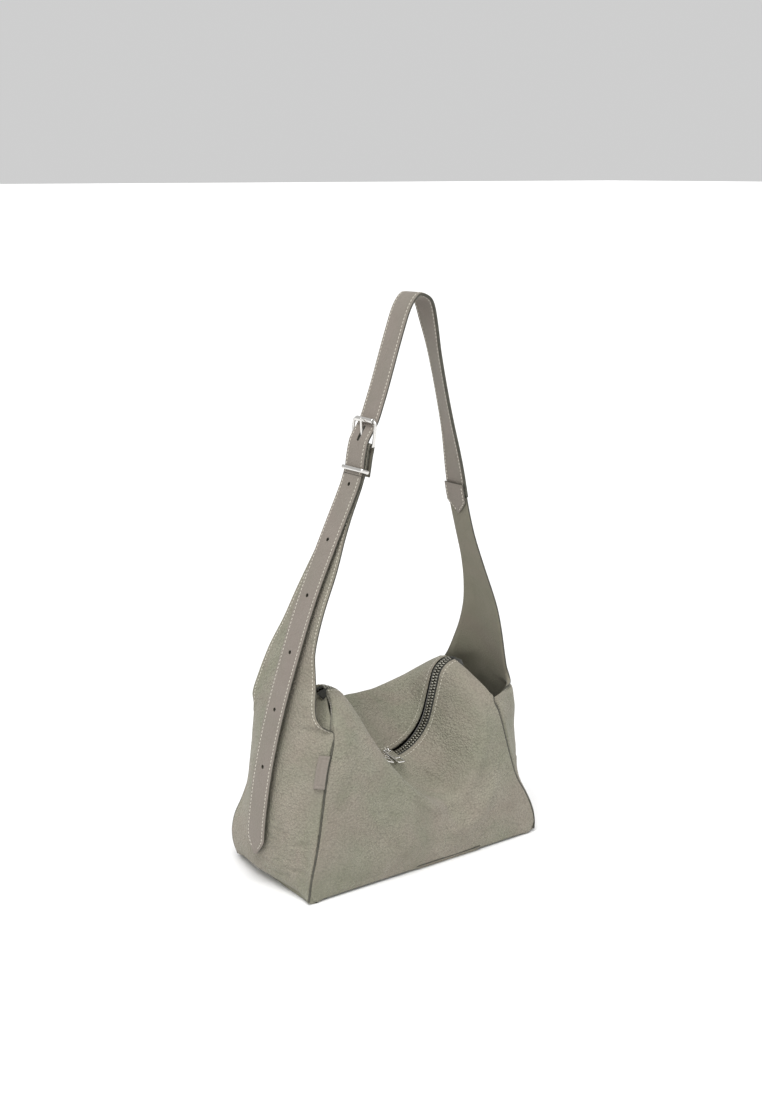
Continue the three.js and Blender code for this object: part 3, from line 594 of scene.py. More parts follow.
def add_right_end():
    add_sheet("right_gusset_and_wing", right_grid, WING_LEATHER + 0.1, -1, [NUBUCK, SUEDE, EDGE], WING_BEND,
              "nubuck", "right_gusset", "right_wing")


add_left_end()
add_right_end()


def add_inner_gusset(name, end, halves, lines):
    """End wall of the bag behind the pocket, narrowing towards the zip above the pocket lip."""
    front_half, back_half = smooth(halves[0]), smooth(halves[1])
    front_line, back_line = smooth(lines[0]), smooth(lines[1])
    z = np.linspace(PANEL_FOOT, 158, 100)
    across = 2 * edge_spacing(44) - 1
    zz, aa = np.meshgrid(z, across, indexing="ij")
    sag = 2.5 * np.cos(aa * math.pi / 2) * ease(zz, 10, 70)
    share = (aa + 1) / 2
    x = front_line(zz) * (1 - share) + back_line(zz) * share - sag
    y = np.where(aa < 0, aa * front_half(zz), aa * back_half(zz))
    grid = np.stack([end["side"] * x, y, zz], axis=-1)
    swell = wobble(grid, 40, 1.1, 3.0 + end["side"]) * ease(1 - np.abs(aa), 0, 0.2)
    grid = grid + grid_normals(grid, -end["side"]) * swell[..., None]
    add_sheet(name + "_leather", grid, LEATHER, -end["side"], [NUBUCK_SMOOTH, SUEDE, EDGE], "bag_body",
              "nubuck", name)


inner_half = [(0, 57), (57, 56), (113, 52), (136, 45), (146, 34), (152, 22), (158, 9)]
add_inner_gusset("left_inner_gusset", LEFT_END, (inner_half, inner_half),
                 ([(0, 127), (57, 114), (113, 101), (140, 91), (150, 83), (160, 72)],
                  [(0, 121), (57, 112), (113, 105), (140, 104), (150, 90), (160, 72)]))
add_inner_gusset("right_inner_gusset", RIGHT_END, (inner_half, inner_half),
                 ([(0, 118), (25, 115), (55, 99), (98, 84), (138, 74), (150, 69), (160, 64)],
                  [(0, 127), (57, 114), (113, 101), (143, 91), (150, 82), (160, 70)]))


# ---------------------------------------------------------------- zip path
def zip_frame(s):
    """Point, direction and upward normal of the chain at a signed length from the lowest point."""
    s = np.asarray(s, float)
    sign = np.where(s < 0, -1.0, 1.0)
    a = np.abs(s)
    arc = VALLEY_RADIUS * VALLEY_HALF_ANGLE
    angle = np.minimum(a / VALLEY_RADIUS, VALLEY_HALF_ANGLE)
    flank = np.clip(a - arc, 0, FLANK)
    bend = np.maximum(a - arc - FLANK, 0) / PEAK_RADIUS
    x = (VALLEY_RADIUS * np.sin(angle) + flank * np.cos(angle)
         + PEAK_RADIUS * (np.sin(angle) - np.sin(angle - bend)))
    z = (VALLEY_CENTRE_Z - VALLEY_RADIUS * np.cos(angle) + flank * np.sin(angle)
         + PEAK_RADIUS * (np.cos(angle - bend) - np.cos(angle)))
    angle = angle - bend
    zero = np.zeros_like(x)
    point = np.stack([sign * x, zero, z], axis=-1)
    along = np.stack([np.cos(angle), zero, sign * np.sin(angle)], axis=-1)
    up = np.stack([-sign * np.sin(angle), zero, np.cos(angle)], axis=-1)
    return point, along, up


# ---------------------------------------------------------------- front and back panels
# Each section climbs the panel from its foot; the last point of each is the zip hem.
front_rows = (0, 0.16, 0.33, 0.49, 0.62, 0.73, 0.87, 1)
front_sections = (
    (-118, (-130.5, -61, 0), (-122.5, -60, 38), (-113.5, -58, 76), (-105, -55, 113), (-95, -48.5, 139),
     (-90.5, -40, 148), (-81, -25, 157)),
    (-110, (-108, -61, 0), (-103, -62, 36), (-98, -61.5, 72), (-92, -59, 106), (-84, -53, 133),
     (-80, -42, 148), (-73, -24, 159)),
    (-100, (-84, -61, 0), (-80, -63, 36), (-77, -63, 72), (-74, -59, 104), (-70, -51, 131), (-67, -39, 147),
     (-63, -22, 157)),
    (-84, (-60, -61, 0), (-58, -64, 32), (-57, -63.5, 62), (-55, -60, 90), (-54, -53, 113), (-53, -41, 131),
     (-52, -23, 138)),
    (-50, (-38, -61, 0), (-37, -64.5, 26), (-36, -64.5, 50), (-35, -61.5, 74), (-34, -54.5, 94),
     (-34, -44, 98), (-37, -24, 102)),
    (-32, (-19, -61, 0), (-18.5, -64, 20), (-18, -64.5, 40), (-17, -62.5, 60), (-16, -58, 75), (-17, -47, 80),
     (-22, -25, 86)),
    (-10, (0, -61, 0), (0, -63, 16), (0, -64, 32), (0.5, -63, 46), (1, -60.5, 58), (1, -49, 66.5),
     (-3, -25, 76)),
    (8, (15, -61, 0), (15, -63, 13), (15, -64, 26), (15, -63.5, 37), (15, -60.5, 46), (13, -51, 56),
     (10, -27, 73)),
    (24, (29, -61, 0), (29, -63, 11), (29, -63.5, 22), (29, -62.5, 31), (28, -58.5, 40), (26, -50, 52),
     (24, -28, 73)),
    (42, (45, -61, 0), (44, -62.5, 14), (43, -62, 28), (42, -60.5, 41), (41, -57, 53), (40, -48, 68),
     (38, -27, 90)),
    (62, (62, -61, 0), (61, -62, 22), (59, -61, 44), (57, -59.5, 65), (55, -56, 84), (52, -46, 102),
     (48, -26, 120)),
    (90, (82, -61, 0), (79, -62, 29), (74, -61, 58), (69, -58.5, 86), (65, -54.5, 110), (62, -44, 131),
     (57, -24, 148)),
    (107, (103, -60.5, 0), (98, -61, 30), (88, -60, 59), (80, -57.5, 87), (74, -54, 112), (71, -46, 136),
     (67, -23, 156)),
    (118, (126, -59, 0), (120, -59.5, 29), (103, -58, 58), (94, -56, 86), (86.5, -54, 112), (81.5, -48, 137),
     (76, -22, 154)),
)
back_rows = (0, 0.24, 0.48, 0.68, 0.88, 1)
back_sections = (
    (-118, (-124, 60, 0), (-118, 59, 57), (-110, 55, 109), (-108, 47, 142), (-84, 22, 157.5)),
    (-105, (-98, 60, 0), (-93, 62.5, 55), (-87, 59, 107), (-84, 47, 143), (-71, 22, 158)),
    (-86, (-65, 60, 0), (-64, 64, 54), (-60, 60, 104), (-56, 47, 138), (-54, 25, 146)),
    (-53, (-32, 60, 0), (-32, 65, 52), (-31, 61, 98), (-30, 47, 133), (-37, 24, 121)),
    (0, (0, 60, 0), (0, 65, 50), (0, 61, 96), (0, 46, 132), (0, 24, 105)),
    (53, (33, 60, 0), (33, 65, 52), (33, 61, 99), (33, 46, 135), (37, 24, 121)),
    (86, (66, 60, 0), (66, 64, 54), (63, 60, 104), (59, 46, 139), (54, 25, 146)),
    (105, (98, 60, 0), (94, 62.5, 55), (87, 59, 107), (80, 46, 143), (72, 22, 158)),
    (118, (130.5, 60, 0), (117.9, 59, 57), (105, 54.5, 112), (94.7, 48, 142), (80, 22, 157)),
)
FRONT_HEM_Y, BACK_HEM_Y = 5.2, 7.4
CORNER_CUT = 10  # how far the foot of a panel draws in at the lower corners
CORNER_HEIGHT = 11


def panel_grid(sections, rows, side, hem_y, columns=230, heights=150):
    """Outer face of a panel: along the bag, then up from the foot to the zip hem."""
    u = edge_spacing(columns, 0.6)
    v = edge_spacing(heights, 0.25)
    count = len(sections)
    marks = np.linspace(0, 1, count)
    stations = smooth(list(zip(marks, [s[0] for s in sections])))(u)
    point, _, up = zip_frame(stations)
    hem = point + up * 1.0
    hem[:, 1] = side * hem_y
    control = [np.stack([smooth(list(zip(marks, [s[row + 1][axis] for s in sections])))(u)
                         for axis in range(3)], axis=-1) for row in range(len(rows) - 1)] + [hem]
    control = np.array(control)
    grid = np.zeros((columns, heights, 3))
    for k in range(columns):
        for axis in range(3):
            grid[k, :, axis] = smooth(list(zip(rows, control[:, k, axis])))(v)
    grid[..., 2] = np.maximum(grid[..., 2], PANEL_FOOT)
    return grid, np.meshgrid(u, v, indexing="ij")


def turned_edges(grid, u):
    """Distances from a panel's sewn sides, foot and hem, and how far the face sinks there."""
    across = np.abs(np.linalg.norm(grid[-1] - grid[0], axis=-1))[None, :]
    from_side = np.minimum(u, 1 - u) * across
    up = row_marks(grid)
    from_hem = up[:, -1:] - up
    sink = SEAM_DEPTH * roll_in(from_side, SEAM_ROLL) + roll_in(up, PANEL_FOOT_ROLL) + roll_in(from_hem, 1.2)
    return sink, from_side, up, from_hem


def meet_gussets(grid, u, side):
    """Draw a panel's sewn edges onto the edges of the two gussets."""
    for end, column, share in ((LEFT_END, 0, u), (RIGHT_END, -1, 1 - u)):
        edge = grid[column].copy()
        shift = end_surface(end, edge[:, 2], np.full(len(edge), float(side))) - edge
        shift *= (1 - ease(edge[:, 2], SEWN_TOP - 10, SEWN_TOP + 2))[:, None]
        grid += shift[None, :, :] * (1 - ease(share, 0, 0.12))[..., None]


def add_panel(name, sections, rows, side, hem_y, seed):
    grid, (u, _) = panel_grid(sections, rows, side, hem_y)
    meet_gussets(grid, u, side)
    # the lower corners are rounded
    corner = ease(np.abs(2 * u - 1), 0.86, 1)
    low = roll_in((grid[..., 2] - PANEL_FOOT) / CORNER_HEIGHT, 1.0)
    grid[..., 0] -= np.sign(u - 0.5) * CORNER_CUT * low * corner
    normals = grid_normals(grid, -side)
    sink, from_side, up, from_hem = turned_edges(grid, u)
    calm = ease(from_side, 2, 26) * ease(from_hem, 6, 26) * ease(up, 2, 26)
    swell = wobble(grid, 70, 2.0, seed) + wobble(grid, 26, 0.6, seed + 6)
    if side < 0:
        swell = swell + front_wrinkles(grid)
    grid = grid + normals * (swell * calm - sink)[..., None]
    add_sheet(name + "_leather", grid, LEATHER, -side, [NUBUCK, SUEDE, EDGE], "bag_body", "nubuck", name)
    return grid, grid_normals(grid, -side)


# The edge of the front fold: it drops from the left, turns at the bottom and climbs to the right.
FOLD_RIM = np.array([(-66, 153), (-61, 141), (-53, 123), (-42, 103), (-29, 85), (-15, 71), (0, 60),
                     (14, 53.5), (26, 52), (37, 57), (47, 69), (56, 85), (63, 103)], float)


def fold_distance(x, z):
    """Signed distance from the rim of the front fold, positive on the zip side, and the share along it."""
    best = np.full(x.shape, 1e9)
    signed = np.zeros(x.shape)
    share = np.zeros(x.shape)
    count = len(FOLD_RIM) - 1
    for k in range(count):
        (x0, z0), (x1, z1) = FOLD_RIM[k], FOLD_RIM[k + 1]
        ax, az = x1 - x0, z1 - z0
        t = np.clip(((x - x0) * ax + (z - z0) * az) / (ax * ax + az * az), 0, 1)
        dx, dz = x - x0 - t * ax, z - z0 - t * az
        distance = np.hypot(dx, dz)
        near = distance < best
        best = np.where(near, distance, best)
        signed = np.where(near, distance * np.sign(ax * dz - az * dx), signed)
        share = np.where(near, (k + t) / count, share)
    return signed, share


def front_wrinkles(grid):
    """The rolled rim of the front fold, with the hollow inside it, and ridges that fan out at its end."""
    x, z = grid[..., 0], grid[..., 2]
    inside, share = fold_distance(x, z)
    strength = ease(share, 0.02, 0.2) * (1 - 0.55 * ease(share, 0.62, 0.9)) * (1 - ease(share, 0.9, 1.0))
    rim = 2.4 * np.exp(-((inside + 3) / 5.0) ** 2)
    hollow = -6.5 * ease(inside, -1, 11) * (1 - ease(inside, 12, 38))
    total = (rim + hollow) * strength
    for (x0, z0), (x1, z1), width, height in (((40, 22), (64, 50), 6, 2.0), ((54, 26), (74, 62), 5, 1.5),
                                              ((20, 26), (44, 30), 5, 1.4)):
        ax, az = x1 - x0, z1 - z0
        length = math.hypot(ax, az)
        t = ((x - x0) * ax + (z - z0) * az) / length**2
        off = ((x - x0) * az - (z - z0) * ax) / length + 5 * (t - 0.5) ** 2
        total += height * np.exp(-(off / width) ** 2) * ease(t, -0.25, 0.3) * (1 - ease(t, 0.6, 1.3))
    return total


front_grid, front_normals = add_panel("front_panel", front_sections, front_rows, -1, FRONT_HEM_Y, 8.0)
back_grid, back_normals = add_panel("back_panel", back_sections, back_rows, 1, BACK_HEM_Y, 18.0)


def add_seam_shadow_cords():
    """Dark cord at the bottom of the groove of each of the four corner seams, a painted shadow of the sewn
    seam.
    """
    z = np.linspace(3, SEWN_TOP - 2, 70)
    parts = []
    for end in (LEFT_END, RIGHT_END):
        for side in (-1.0, 1.0):
            line = end_surface(end, z, np.full(len(z), side)) - np.array([end["side"] * 1.1, side * 1.1, 0])
            parts.append(tube_mesh(line, 0.95, 8, up=(0.3, 1, 0)))
    verts, faces = merge(parts)
    place(new_object("seam_welts", verts, faces, [EDGE]), "bag_body", "nubuck")


add_seam_shadow_cords()


def add_lining(name, grid, side):
    inner = grid - grid_normals(grid, -side) * (LEATHER + 0.5)
    inner = inner[4:-4, 3:-10]
    add_sheet(name + "_cloth", inner, 0.5, -side, [LINING, LINING, LINING], "bag_body", "lining", name)


add_lining("lining_front", front_grid, -1)
add_lining("lining_back", back_grid, 1)


# ---------------------------------------------------------------- base
def add_base():
    """Leather base, drawn in to the foot of the walls all round."""
    ring = np.concatenate([front_grid[:, 0], right_grid[0, :], back_grid[::-1, 0], left_grid[0, ::-1]])
    ring = ring[np.concatenate([[True], np.linalg.norm(np.diff(ring, axis=0), axis=1) > 0.4])]
    centre = np.array([ring[:, 0].mean(), ring[:, 1].mean(), 0])
    shares = np.array([0.985, 0.975, 0.96, 0.94, 0.8, 0.6, 0.4, 0.2])
    heights = np.array([1.3, 0.45, 0.1, 0.0, 0.0, 0.0, 0.0, 0.0])
    count = len(ring)
    rings = []
    for share, height in zip(shares, heights):
        level = centre + (ring - centre) * share
        level[:, 2] = height
        rings.append(level)
    below = np.concatenate(rings)
    above = below + [0, 0, BASE_LEATHER]
    verts = np.concatenate([below, [centre], above, [centre + [0, 0, BASE_LEATHER]]])
    size = len(below) + 1
    faces = []
    for k in range(len(shares) - 1):
        for i in range(count):
            j = (i + 1) % count
            a, b, c, d = k * count + i, k * count + j, (k + 1) * count + j, (k + 1) * count + i
            faces += [[a, d, c, b], [a + size, b + size, c + size, d + size]]
    last = (len(shares) - 1) * count
    for i in range(count):
        j = (i + 1) % count
        faces += [[last + i, size - 1, last + j], [last + i + size, last + j + size, 2 * size - 1]]
        faces.append([i, j, j + size, i + size])
    obj = new_object("base_leather", verts, faces, [NUBUCK_SMOOTH])
    place(obj, "bag_body", "nubuck", "base_panel")


add_base()


# ---------------------------------------------------------------- thread
STITCH_TAPER = np.array([0.55, 0.95, 1, 1, 0.95, 0.55])


def stitch_row(points, normals, pitch=3.3, length=2.35, radius=0.3, start=1.5):
    """Separate stitches along a line that lies on a surface: slim tubes whose ends dive into the leather."""
    marks = arc_marks(points)
    parts = []
    s = start
    while s + length < marks[-1]:
        t = np.linspace(0, 1, 6)
        lift = radius * (1.3 * np.sin(math.pi * t) ** 0.6 - 0.9)
        line = read_off(s + t * length, marks, points)
        line = line + unit(read_off(s + t * length, marks, normals)) * lift[:, None]
        slant = random.uniform(-0.08, 0.08)
        line += unit(np.cross(normals[0], points[-1] - points[0]))[None, :] * (slant * (t - 0.5))[:, None]
        parts.append(tube_mesh(line, radius * STITCH_TAPER, 6, up=normals[0] + 0.01))
        s += pitch
    return parts


def edge_line(grid, normals, distance, axis=1, far=False):
    """Line on a grid at a distance from one of its edges, with its normals."""
    g, n = (grid, normals) if axis == 1 else (np.swapaxes(grid, 0, 1), np.swapaxes(normals, 0, 1))
    if far:
        g, n = g[:, ::-1], n[:, ::-1]
    points, directions = [], []
    for row, row_normals in zip(g, n):
        marks = arc_marks(row)
        points.append(read_off(distance, marks, row))
        directions.append(read_off(distance, marks, row_normals))
    return np.array(points), np.array(directions)


def add_thread(name, rows, body, slot="nubuck"):
    verts, faces = merge([part for row in rows for part in row])
    return place(new_object(name, verts, faces, [THREAD]), body, slot)


def wing_thread():
    for name, grid, side in (("left", left_grid, 1), ("right", right_grid, -1)):
        rows = []
        for far in (False, True):
            points, directions = edge_line(grid, grid_normals(grid, side), 2.9, far=far)
            keep = points[:, 2] > SEWN_TOP + (6.0 if far else 1.0)
            rows.append(stitch_row(points[keep], directions[keep]))
        add_thread(name + "_wing_thread", rows, WING_BEND)


def panel_row(grid, normals, distance, axis=1, far=True, above=None):
    """Stitches along an edge of a panel: all of it but its ends, or what lies above a height."""
    points, directions = edge_line(grid, normals, distance, axis, far)
    keep = slice(4, -4) if above is None else points[:, 2] > above
    return stitch_row(points[keep], directions[keep], radius=0.26)


wing_thread()
add_thread("front_hem_thread", [panel_row(front_grid, front_normals, 4.6),
                                panel_row(front_grid, front_normals, 4.2, 0, True, 147),
                                panel_row(front_grid, front_normals, 3.6, 0, False, 150)], "bag_body")
add_thread("back_hem_thread", [panel_row(back_grid, back_normals, 4.6)], "bag_body")


# ---------------------------------------------------------------- strap and tail
TAIL = Path([(-144, 0, 29), (-141.6, 0, 60), (-133.9, 0, 105), (-121.5, 0, 152), (-105.4, 0, 199),
             (-87.6, 0, 245), (-66.8, 0, 289), (-44.4, 0, 334), (-40.1, 0, 345.1)])
STRAP_PATH = Path([(-40, 0, 345.5), (-38.4, 0, 350), (-37.1, 0, 359), (-35.2, 0, 368), (-32.6, 0, 375.5),
                   (-23.4, 0, 389.2), (-16.8, 0, 405), (-10.4, 0, 422.5), (3.2, 0, 461.9), (12.2, 0, 484),
                   (21.5, 0, 494.1), (31, 0, 492.5), (37.6, 0, 486.7), (43.2, 0, 469.5), (48.9, 0, 448),
                   (60.6, 0, 399.5), (68.9, 0, 363.5), (75.6, 0, 327), (78.2, 0, 313.4)])
FIRST_FREE_HOLE = 8.5  # before the keeper
HOLE_IN_USE = 37.5
STITCH_INSET = 2.7


def ribbon_frame(path, s, twist=None):
    """Place, width direction and outward direction of a strap at lengths along it."""
    direction = path.along(np.clip(s, 0.5, path.length - 0.5))
    outward = np.stack([-direction[:, 2], np.zeros(len(s)), direction[:, 0]], axis=-1)
    turn = (np.zeros(len(s)) if twist is None else twist(s))[:, None]
    across = np.array([[0.0, 1.0, 0.0]])
    width_dir = np.cos(turn) * across + np.sin(turn) * outward
    return path.at(s), width_dir, np.cos(turn) * outward - np.sin(turn) * across


def ribbon_grid(path, half_width, twist=None):
    """Outer face of a two-layer strap: crowned, pressed down along the stitch rows and at the edges."""
    s = np.linspace(0, path.length, int(path.length / 1.3) + 2)
    c = 2 * edge_spacing(34, 0.6) - 1
    place_on, width_dir, outward = ribbon_frame(path, s, twist)
    half = half_width(s)
    y = half[:, None] * c[None, :]
    inset = half[:, None] - np.abs(y)
    height = (0.25 * (1 - c[None, :] ** 4) - 0.22 * np.exp(-((inset - STITCH_INSET) / 0.55) ** 2)
              - 0.45 * (1 - ease(inset, 0, 0.9)) - 0.35)
    return (place_on[:, None, :] + outward[:, None, :] * height[..., None]
            + width_dir[:, None, :] * y[..., None])


def cut_holes(obj, path, lengths, radius, slot_length=0.0):
    """Punch round holes, or slots that run along the strap."""
    sides = 20
    angles = np.arange(sides) * 2 * math.pi / sides
    parts = []
    for length in lengths:
        centre, direction = path.at(length), path.along(length)
        outward = np.array([-direction[2], 0, direction[0]])
        ring = (radius * np.cos(angles)[:, None] * direction + radius * np.sin(angles)[:, None] * [0, 1, 0]
                + (slot_length / 2 * np.sign(np.cos(angles)))[:, None] * direction)
        verts = np.concatenate([centre + ring - outward * 7, centre + ring + outward * 4])
        parts.append((verts, band_faces(2, sides) + end_caps(2, sides)))
    verts, faces = merge(parts)
    cutter = new_object(obj.name + "_cutter", verts, faces, [EDGE], shade_smooth=False)
    modifier = obj.modifiers.new("holes", "BOOLEAN")
    modifier.operation = "DIFFERENCE"
    modifier.solver = "EXACT"
    modifier.material_mode = "INDEX"
    modifier.object = cutter
    apply_modifiers(obj)
    bpy.data.objects.remove(cutter)


def evaluated_mesh(obj):
    """New mesh of an object as it is after its modifiers."""
    bpy.context.view_layer.update()
    return bpy.data.meshes.new_from_object(obj.evaluated_get(bpy.context.evaluated_depsgraph_get()))


def apply_modifiers(obj):
    mesh = evaluated_mesh(obj)
    obj.modifiers.clear()
    obj.data = mesh


def ribbon_stitches(path, half_width, start, end, twist=None, depth=0.3, side=1):
    """A row of stitches near each edge, at a depth below the outer face."""
    s = np.linspace(start, end, int(end - start))
    place_on, width_dir, outward = ribbon_frame(path, s, twist)
    reach = (half_width(s) - STITCH_INSET)[:, None]
    return [stitch_row(place_on - outward * depth + width_dir * (sign * reach), side * outward, start=0.6)
            for sign in (-1, 1)]


def add_tail():
    tip = smooth([(0, 2.2), (7, 8.2), (12, 11.8), (16, 13), (30, 13), (2000, 13)])
    grid = ribbon_grid(TAIL, tip)
    obj = closed_sheet("strap_tail_leather", grid, STRAP_LEATHER, 1, [STRAP, SUEDE, EDGE], 0.18)
    first = TAIL.length - FIRST_FREE_HOLE
    cut_holes(obj, TAIL, [first - k * HOLE_PITCH for k in range(6)], HOLE_RADIUS)
    place(obj, "tail", "strap_leather", "strap_tail")
    rows = ribbon_stitches(TAIL, tip, 5.5, TAIL.length - 1)
    add_thread("tail_thread", rows, "tail", "strap_leather")


# the right leg of the strap has turned a little about its own length
STRAP_TWIST = smooth([(0, 0), (185, 0), (230, math.radians(14)), (290, math.radians(14)), (345, 0), (500, 0)])


def add_strap():
    width = lambda s: np.full(np.shape(s), STRAP_HALF)
    grid = ribbon_grid(STRAP_PATH, width, twist=STRAP_TWIST)
    obj = closed_sheet("shoulder_strap_leather", grid, STRAP_LEATHER, 1, [STRAP, STRAP_BACK, EDGE], 0.18)
    cut_holes(obj, STRAP_PATH, [HOLE_IN_USE - 2], HOLE_RADIUS, 11.0)
    place(obj, "strap", "strap_leather", "shoulder_strap")
    for name, start, depth, side in (("strap_thread", 0, 0.3, 1),
                                     ("strap_inner_thread", 40, STRAP_LEATHER + 0.42, -1)):
        rows = ribbon_stitches(STRAP_PATH, width, start, STRAP_PATH.length - 1, STRAP_TWIST, depth, side)
        add_thread(name, rows, "strap", "strap_leather")


def add_patch():
    """Patch on the inner side, over the joint between strap and right wing, with a pointed lower end."""
    path = Path([(81.4, 0, 298), (79.5, 0, 305), (77.2, 0, 314), (75, 0, 325)])
    inside = WING_LEATHER + 1.6
    point = smooth([(0, 1.2), (6, 7.4), (11, 12.2), (14, 12.4), (100, 12.4)])
    s = np.linspace(0, path.length, 30)
    c = 2 * edge_spacing(30, 0.6) - 1
    place_on, _, normal = ribbon_frame(path, s)
    crown = 0.3 * (1 - c**4)
    grid = place_on[:, None, :] + normal[:, None, :] * (inside + 1.0 + crown[None, :, None])
    grid[..., 1] = point(s)[:, None] * c[None, :]
    add_sheet("strap_patch_leather", grid, 1.2, 1, [STRAP, STRAP, EDGE], "strap", "strap_leather",
              "strap_patch")
    rows = []
    for sign in (-1, 1):
        points = place_on + normal * (inside + 1.15)
        points[:, 1] = sign * np.maximum(point(s) - 2, 0.3)
        rows.append(stitch_row(points[2:], normal[2:]))
    add_thread("patch_thread", rows, "strap", "strap_leather")


add_tail()
add_strap()
add_patch()


# ---------------------------------------------------------------- side tab
def add_side_tab():
    """Folded tab sewn into the front left seam, with a plain pressed frame."""
    low, high, reach = 97, 123, 0.135
    z = np.linspace(low, high, 44)
    across = -1 + np.linspace(0.0, reach, 24)
    zz, aa = np.meshgrid(z, across, indexing="ij")
    base = end_surface(LEFT_END, zz, np.clip(aa, -1, 1))
    height = 1.9 + 1.5 * ease((aa + 1) / reach, 0, 0.5)
    inset = np.minimum(np.minimum(zz - low, high - zz), (across[-1] - aa) * 60)
    height = height - 0.6 * (1 - ease(inset, 0, 1.2)) - 0.6 * np.exp(-((inset - 2.8) / 0.7) ** 2)
    add_sheet("side_tab_leather", base + grid_normals(base, 1) * height[..., None], 2.0, 1,
              [STRAP, STRAP, EDGE], "bag_body", "nubuck", "side_tab")


add_side_tab()


# ---------------------------------------------------------------- zip
TOOTH_PITCH = 2.7
TEETH_HALF = 116.0  # length of the row of teeth to each side of the lowest point


def add_zip_half(name, side, offset):
    points, along, up = zip_frame(np.arange(-TEETH_HALF + offset, TEETH_HALF, TOOTH_PITCH))
    box, box_faces = rounded_box((1.75, 3.05, 2.4), 0.4)
    teeth = [(in_frame(box, p + np.array([0, side * 1.95, 0]), a, np.array([0.0, 1.0, 0.0]), n), box_faces)
             for p, a, n in zip(points, along, up)]
    verts, faces = merge(teeth)
    obj = new_object("zip_teeth_" + name + "_metal", verts, faces, [TEETH], shade_smooth=False)
    place(obj, "bag_body", "nickel", "zip_teeth_" + name)

    # woven tape with a bead under the teeth, running down under the hem
    reach = [2.3, 3.3, 4.0, 4.8, 6.0, 7.8, 9.6]
    rise = [-0.5, 0.35, 0.45, -0.3, -1.2, -2.4, -3.6]
    if side < 0:
        reach, rise = reach[::-1], rise[::-1]
    point, _, normal = zip_frame(np.linspace(-ZIP_HALF + 1, ZIP_HALF - 1, 220))
    grid = point[:, None, :] + normal[:, None, :] * np.array(rise)[None, :, None]
    grid[..., 1] = side * np.array(reach)[None, :]
    add_sheet("zip_tape_" + name + "_cloth", grid, 0.7, 1, [TAPE, TAPE, TAPE], "bag_body", "zip_tape",
              "zip_tape_" + name)


add_zip_half("front", -1, 0.0)
add_zip_half("back", 1, TOOTH_PITCH / 2)


# ---------------------------------------------------------------- sliders and pullers
def rectangle(x0, x1, y0, y1):
    return [(x0, y0), (x1, y0), (x1, y1), (x0, y1)]


def rounded_outline(corners, radius, steps=5):
    """Closed outline with its corners rounded."""
    c = np.array(corners, float)
    points = []
    for k in range(len(c)):
        before, after = unit(c[k - 1] - c[k]), unit(c[(k + 1) % len(c)] - c[k])
        for t in np.linspace(0, 1, steps):
            points.append((1 - t) ** 2 * (c[k] + before * radius) + 2 * t * (1 - t) * c[k]
                          + t * t * (c[k] + after * radius))
    return np.array(points)


def prism(outline, levels):
    """Closed solid from levels of (height, share of the size of an outline that runs counter-clockwise)."""
    count = len(outline)
    verts = [np.concatenate([outline * share, np.full((count, 1), height)], axis=1)
             for height, share in levels]
    return np.concatenate(verts), end_caps(len(levels), count) + band_faces(len(levels), count)


def on_valley(verts, middle):
    """From (along, across, height over the chain) at a place on the valley's arc to the bag's own axes."""
    angle = middle + verts[:, 0] / VALLEY_RADIUS
    radius = VALLEY_RADIUS - verts[:, 2]
    return np.stack([radius * np.sin(angle), verts[:, 1], VALLEY_CENTRE_Z - radius * np.cos(angle)], axis=1)


def add_slider(side_name):
    middle = SLIDER_REST[side_name]
    nose = 1 if side_name == "right" else -1
    shield = rounded_outline([(-5.7, -3.2), (-1.0, -3.6), (5.6, -4.4), (5.6, 4.4), (-1.0, 3.6), (-5.7, 3.2)],
                             1.1)
    shield[:, 0] *= nose
    if nose < 0:
        shield = shield[::-1]
    lower = shield * (1, 0.7)
    parts = [prism(shield, [(1.65, 0.93), (1.85, 1.0), (2.7, 1.0), (3.0, 0.93)]),
             prism(lower, [(-3.0, 0.93), (-2.8, 1.0), (-1.9, 1.0), (-1.7, 0.95)]),
             prism(rounded_outline(rectangle(-2.6, 2.6, -0.32, 0.32), 0.2), [(-2.2, 1), (2.2, 1)])]
    for side in (-1, 1):
        flange = rounded_outline(rectangle(-4.6, 4.2, -0.4, 0.4), 0.3) + (0, side * 3.95)
        parts.append(prism(flange, [(0.9, 1), (2.0, 1)]))
    t = np.linspace(0, math.pi, 18)
    squared = (np.abs(np.cos(t)) ** 4 + np.abs(np.sin(t)) ** 4) ** 0.25
    bow = np.stack([-3.7 * np.cos(t) / squared, 0 * t, 2.6 + 3.75 * np.sin(t) / squared], axis=1)
    parts.append(tube_mesh(bow, 0.8, 12, flat=(0.75, 1.3)))
    verts, faces = merge(parts)
    add_metal("zip_slider_" + side_name + "_metal", [(on_valley(verts, middle), faces)],
              side_name + "_slider", "zip_slider_" + side_name)
    add_puller(side_name, middle)


def add_metal(name, parts, body, node, sharp=35):
    """Metal piece, shaded smooth but for edges sharper than an angle."""
    verts, faces = merge(parts)
    obj = new_object(name, verts, faces, [NICKEL])
    obj.data.set_sharp_from_angle(angle=math.radians(sharp))
    place(obj, body, "nickel", node)


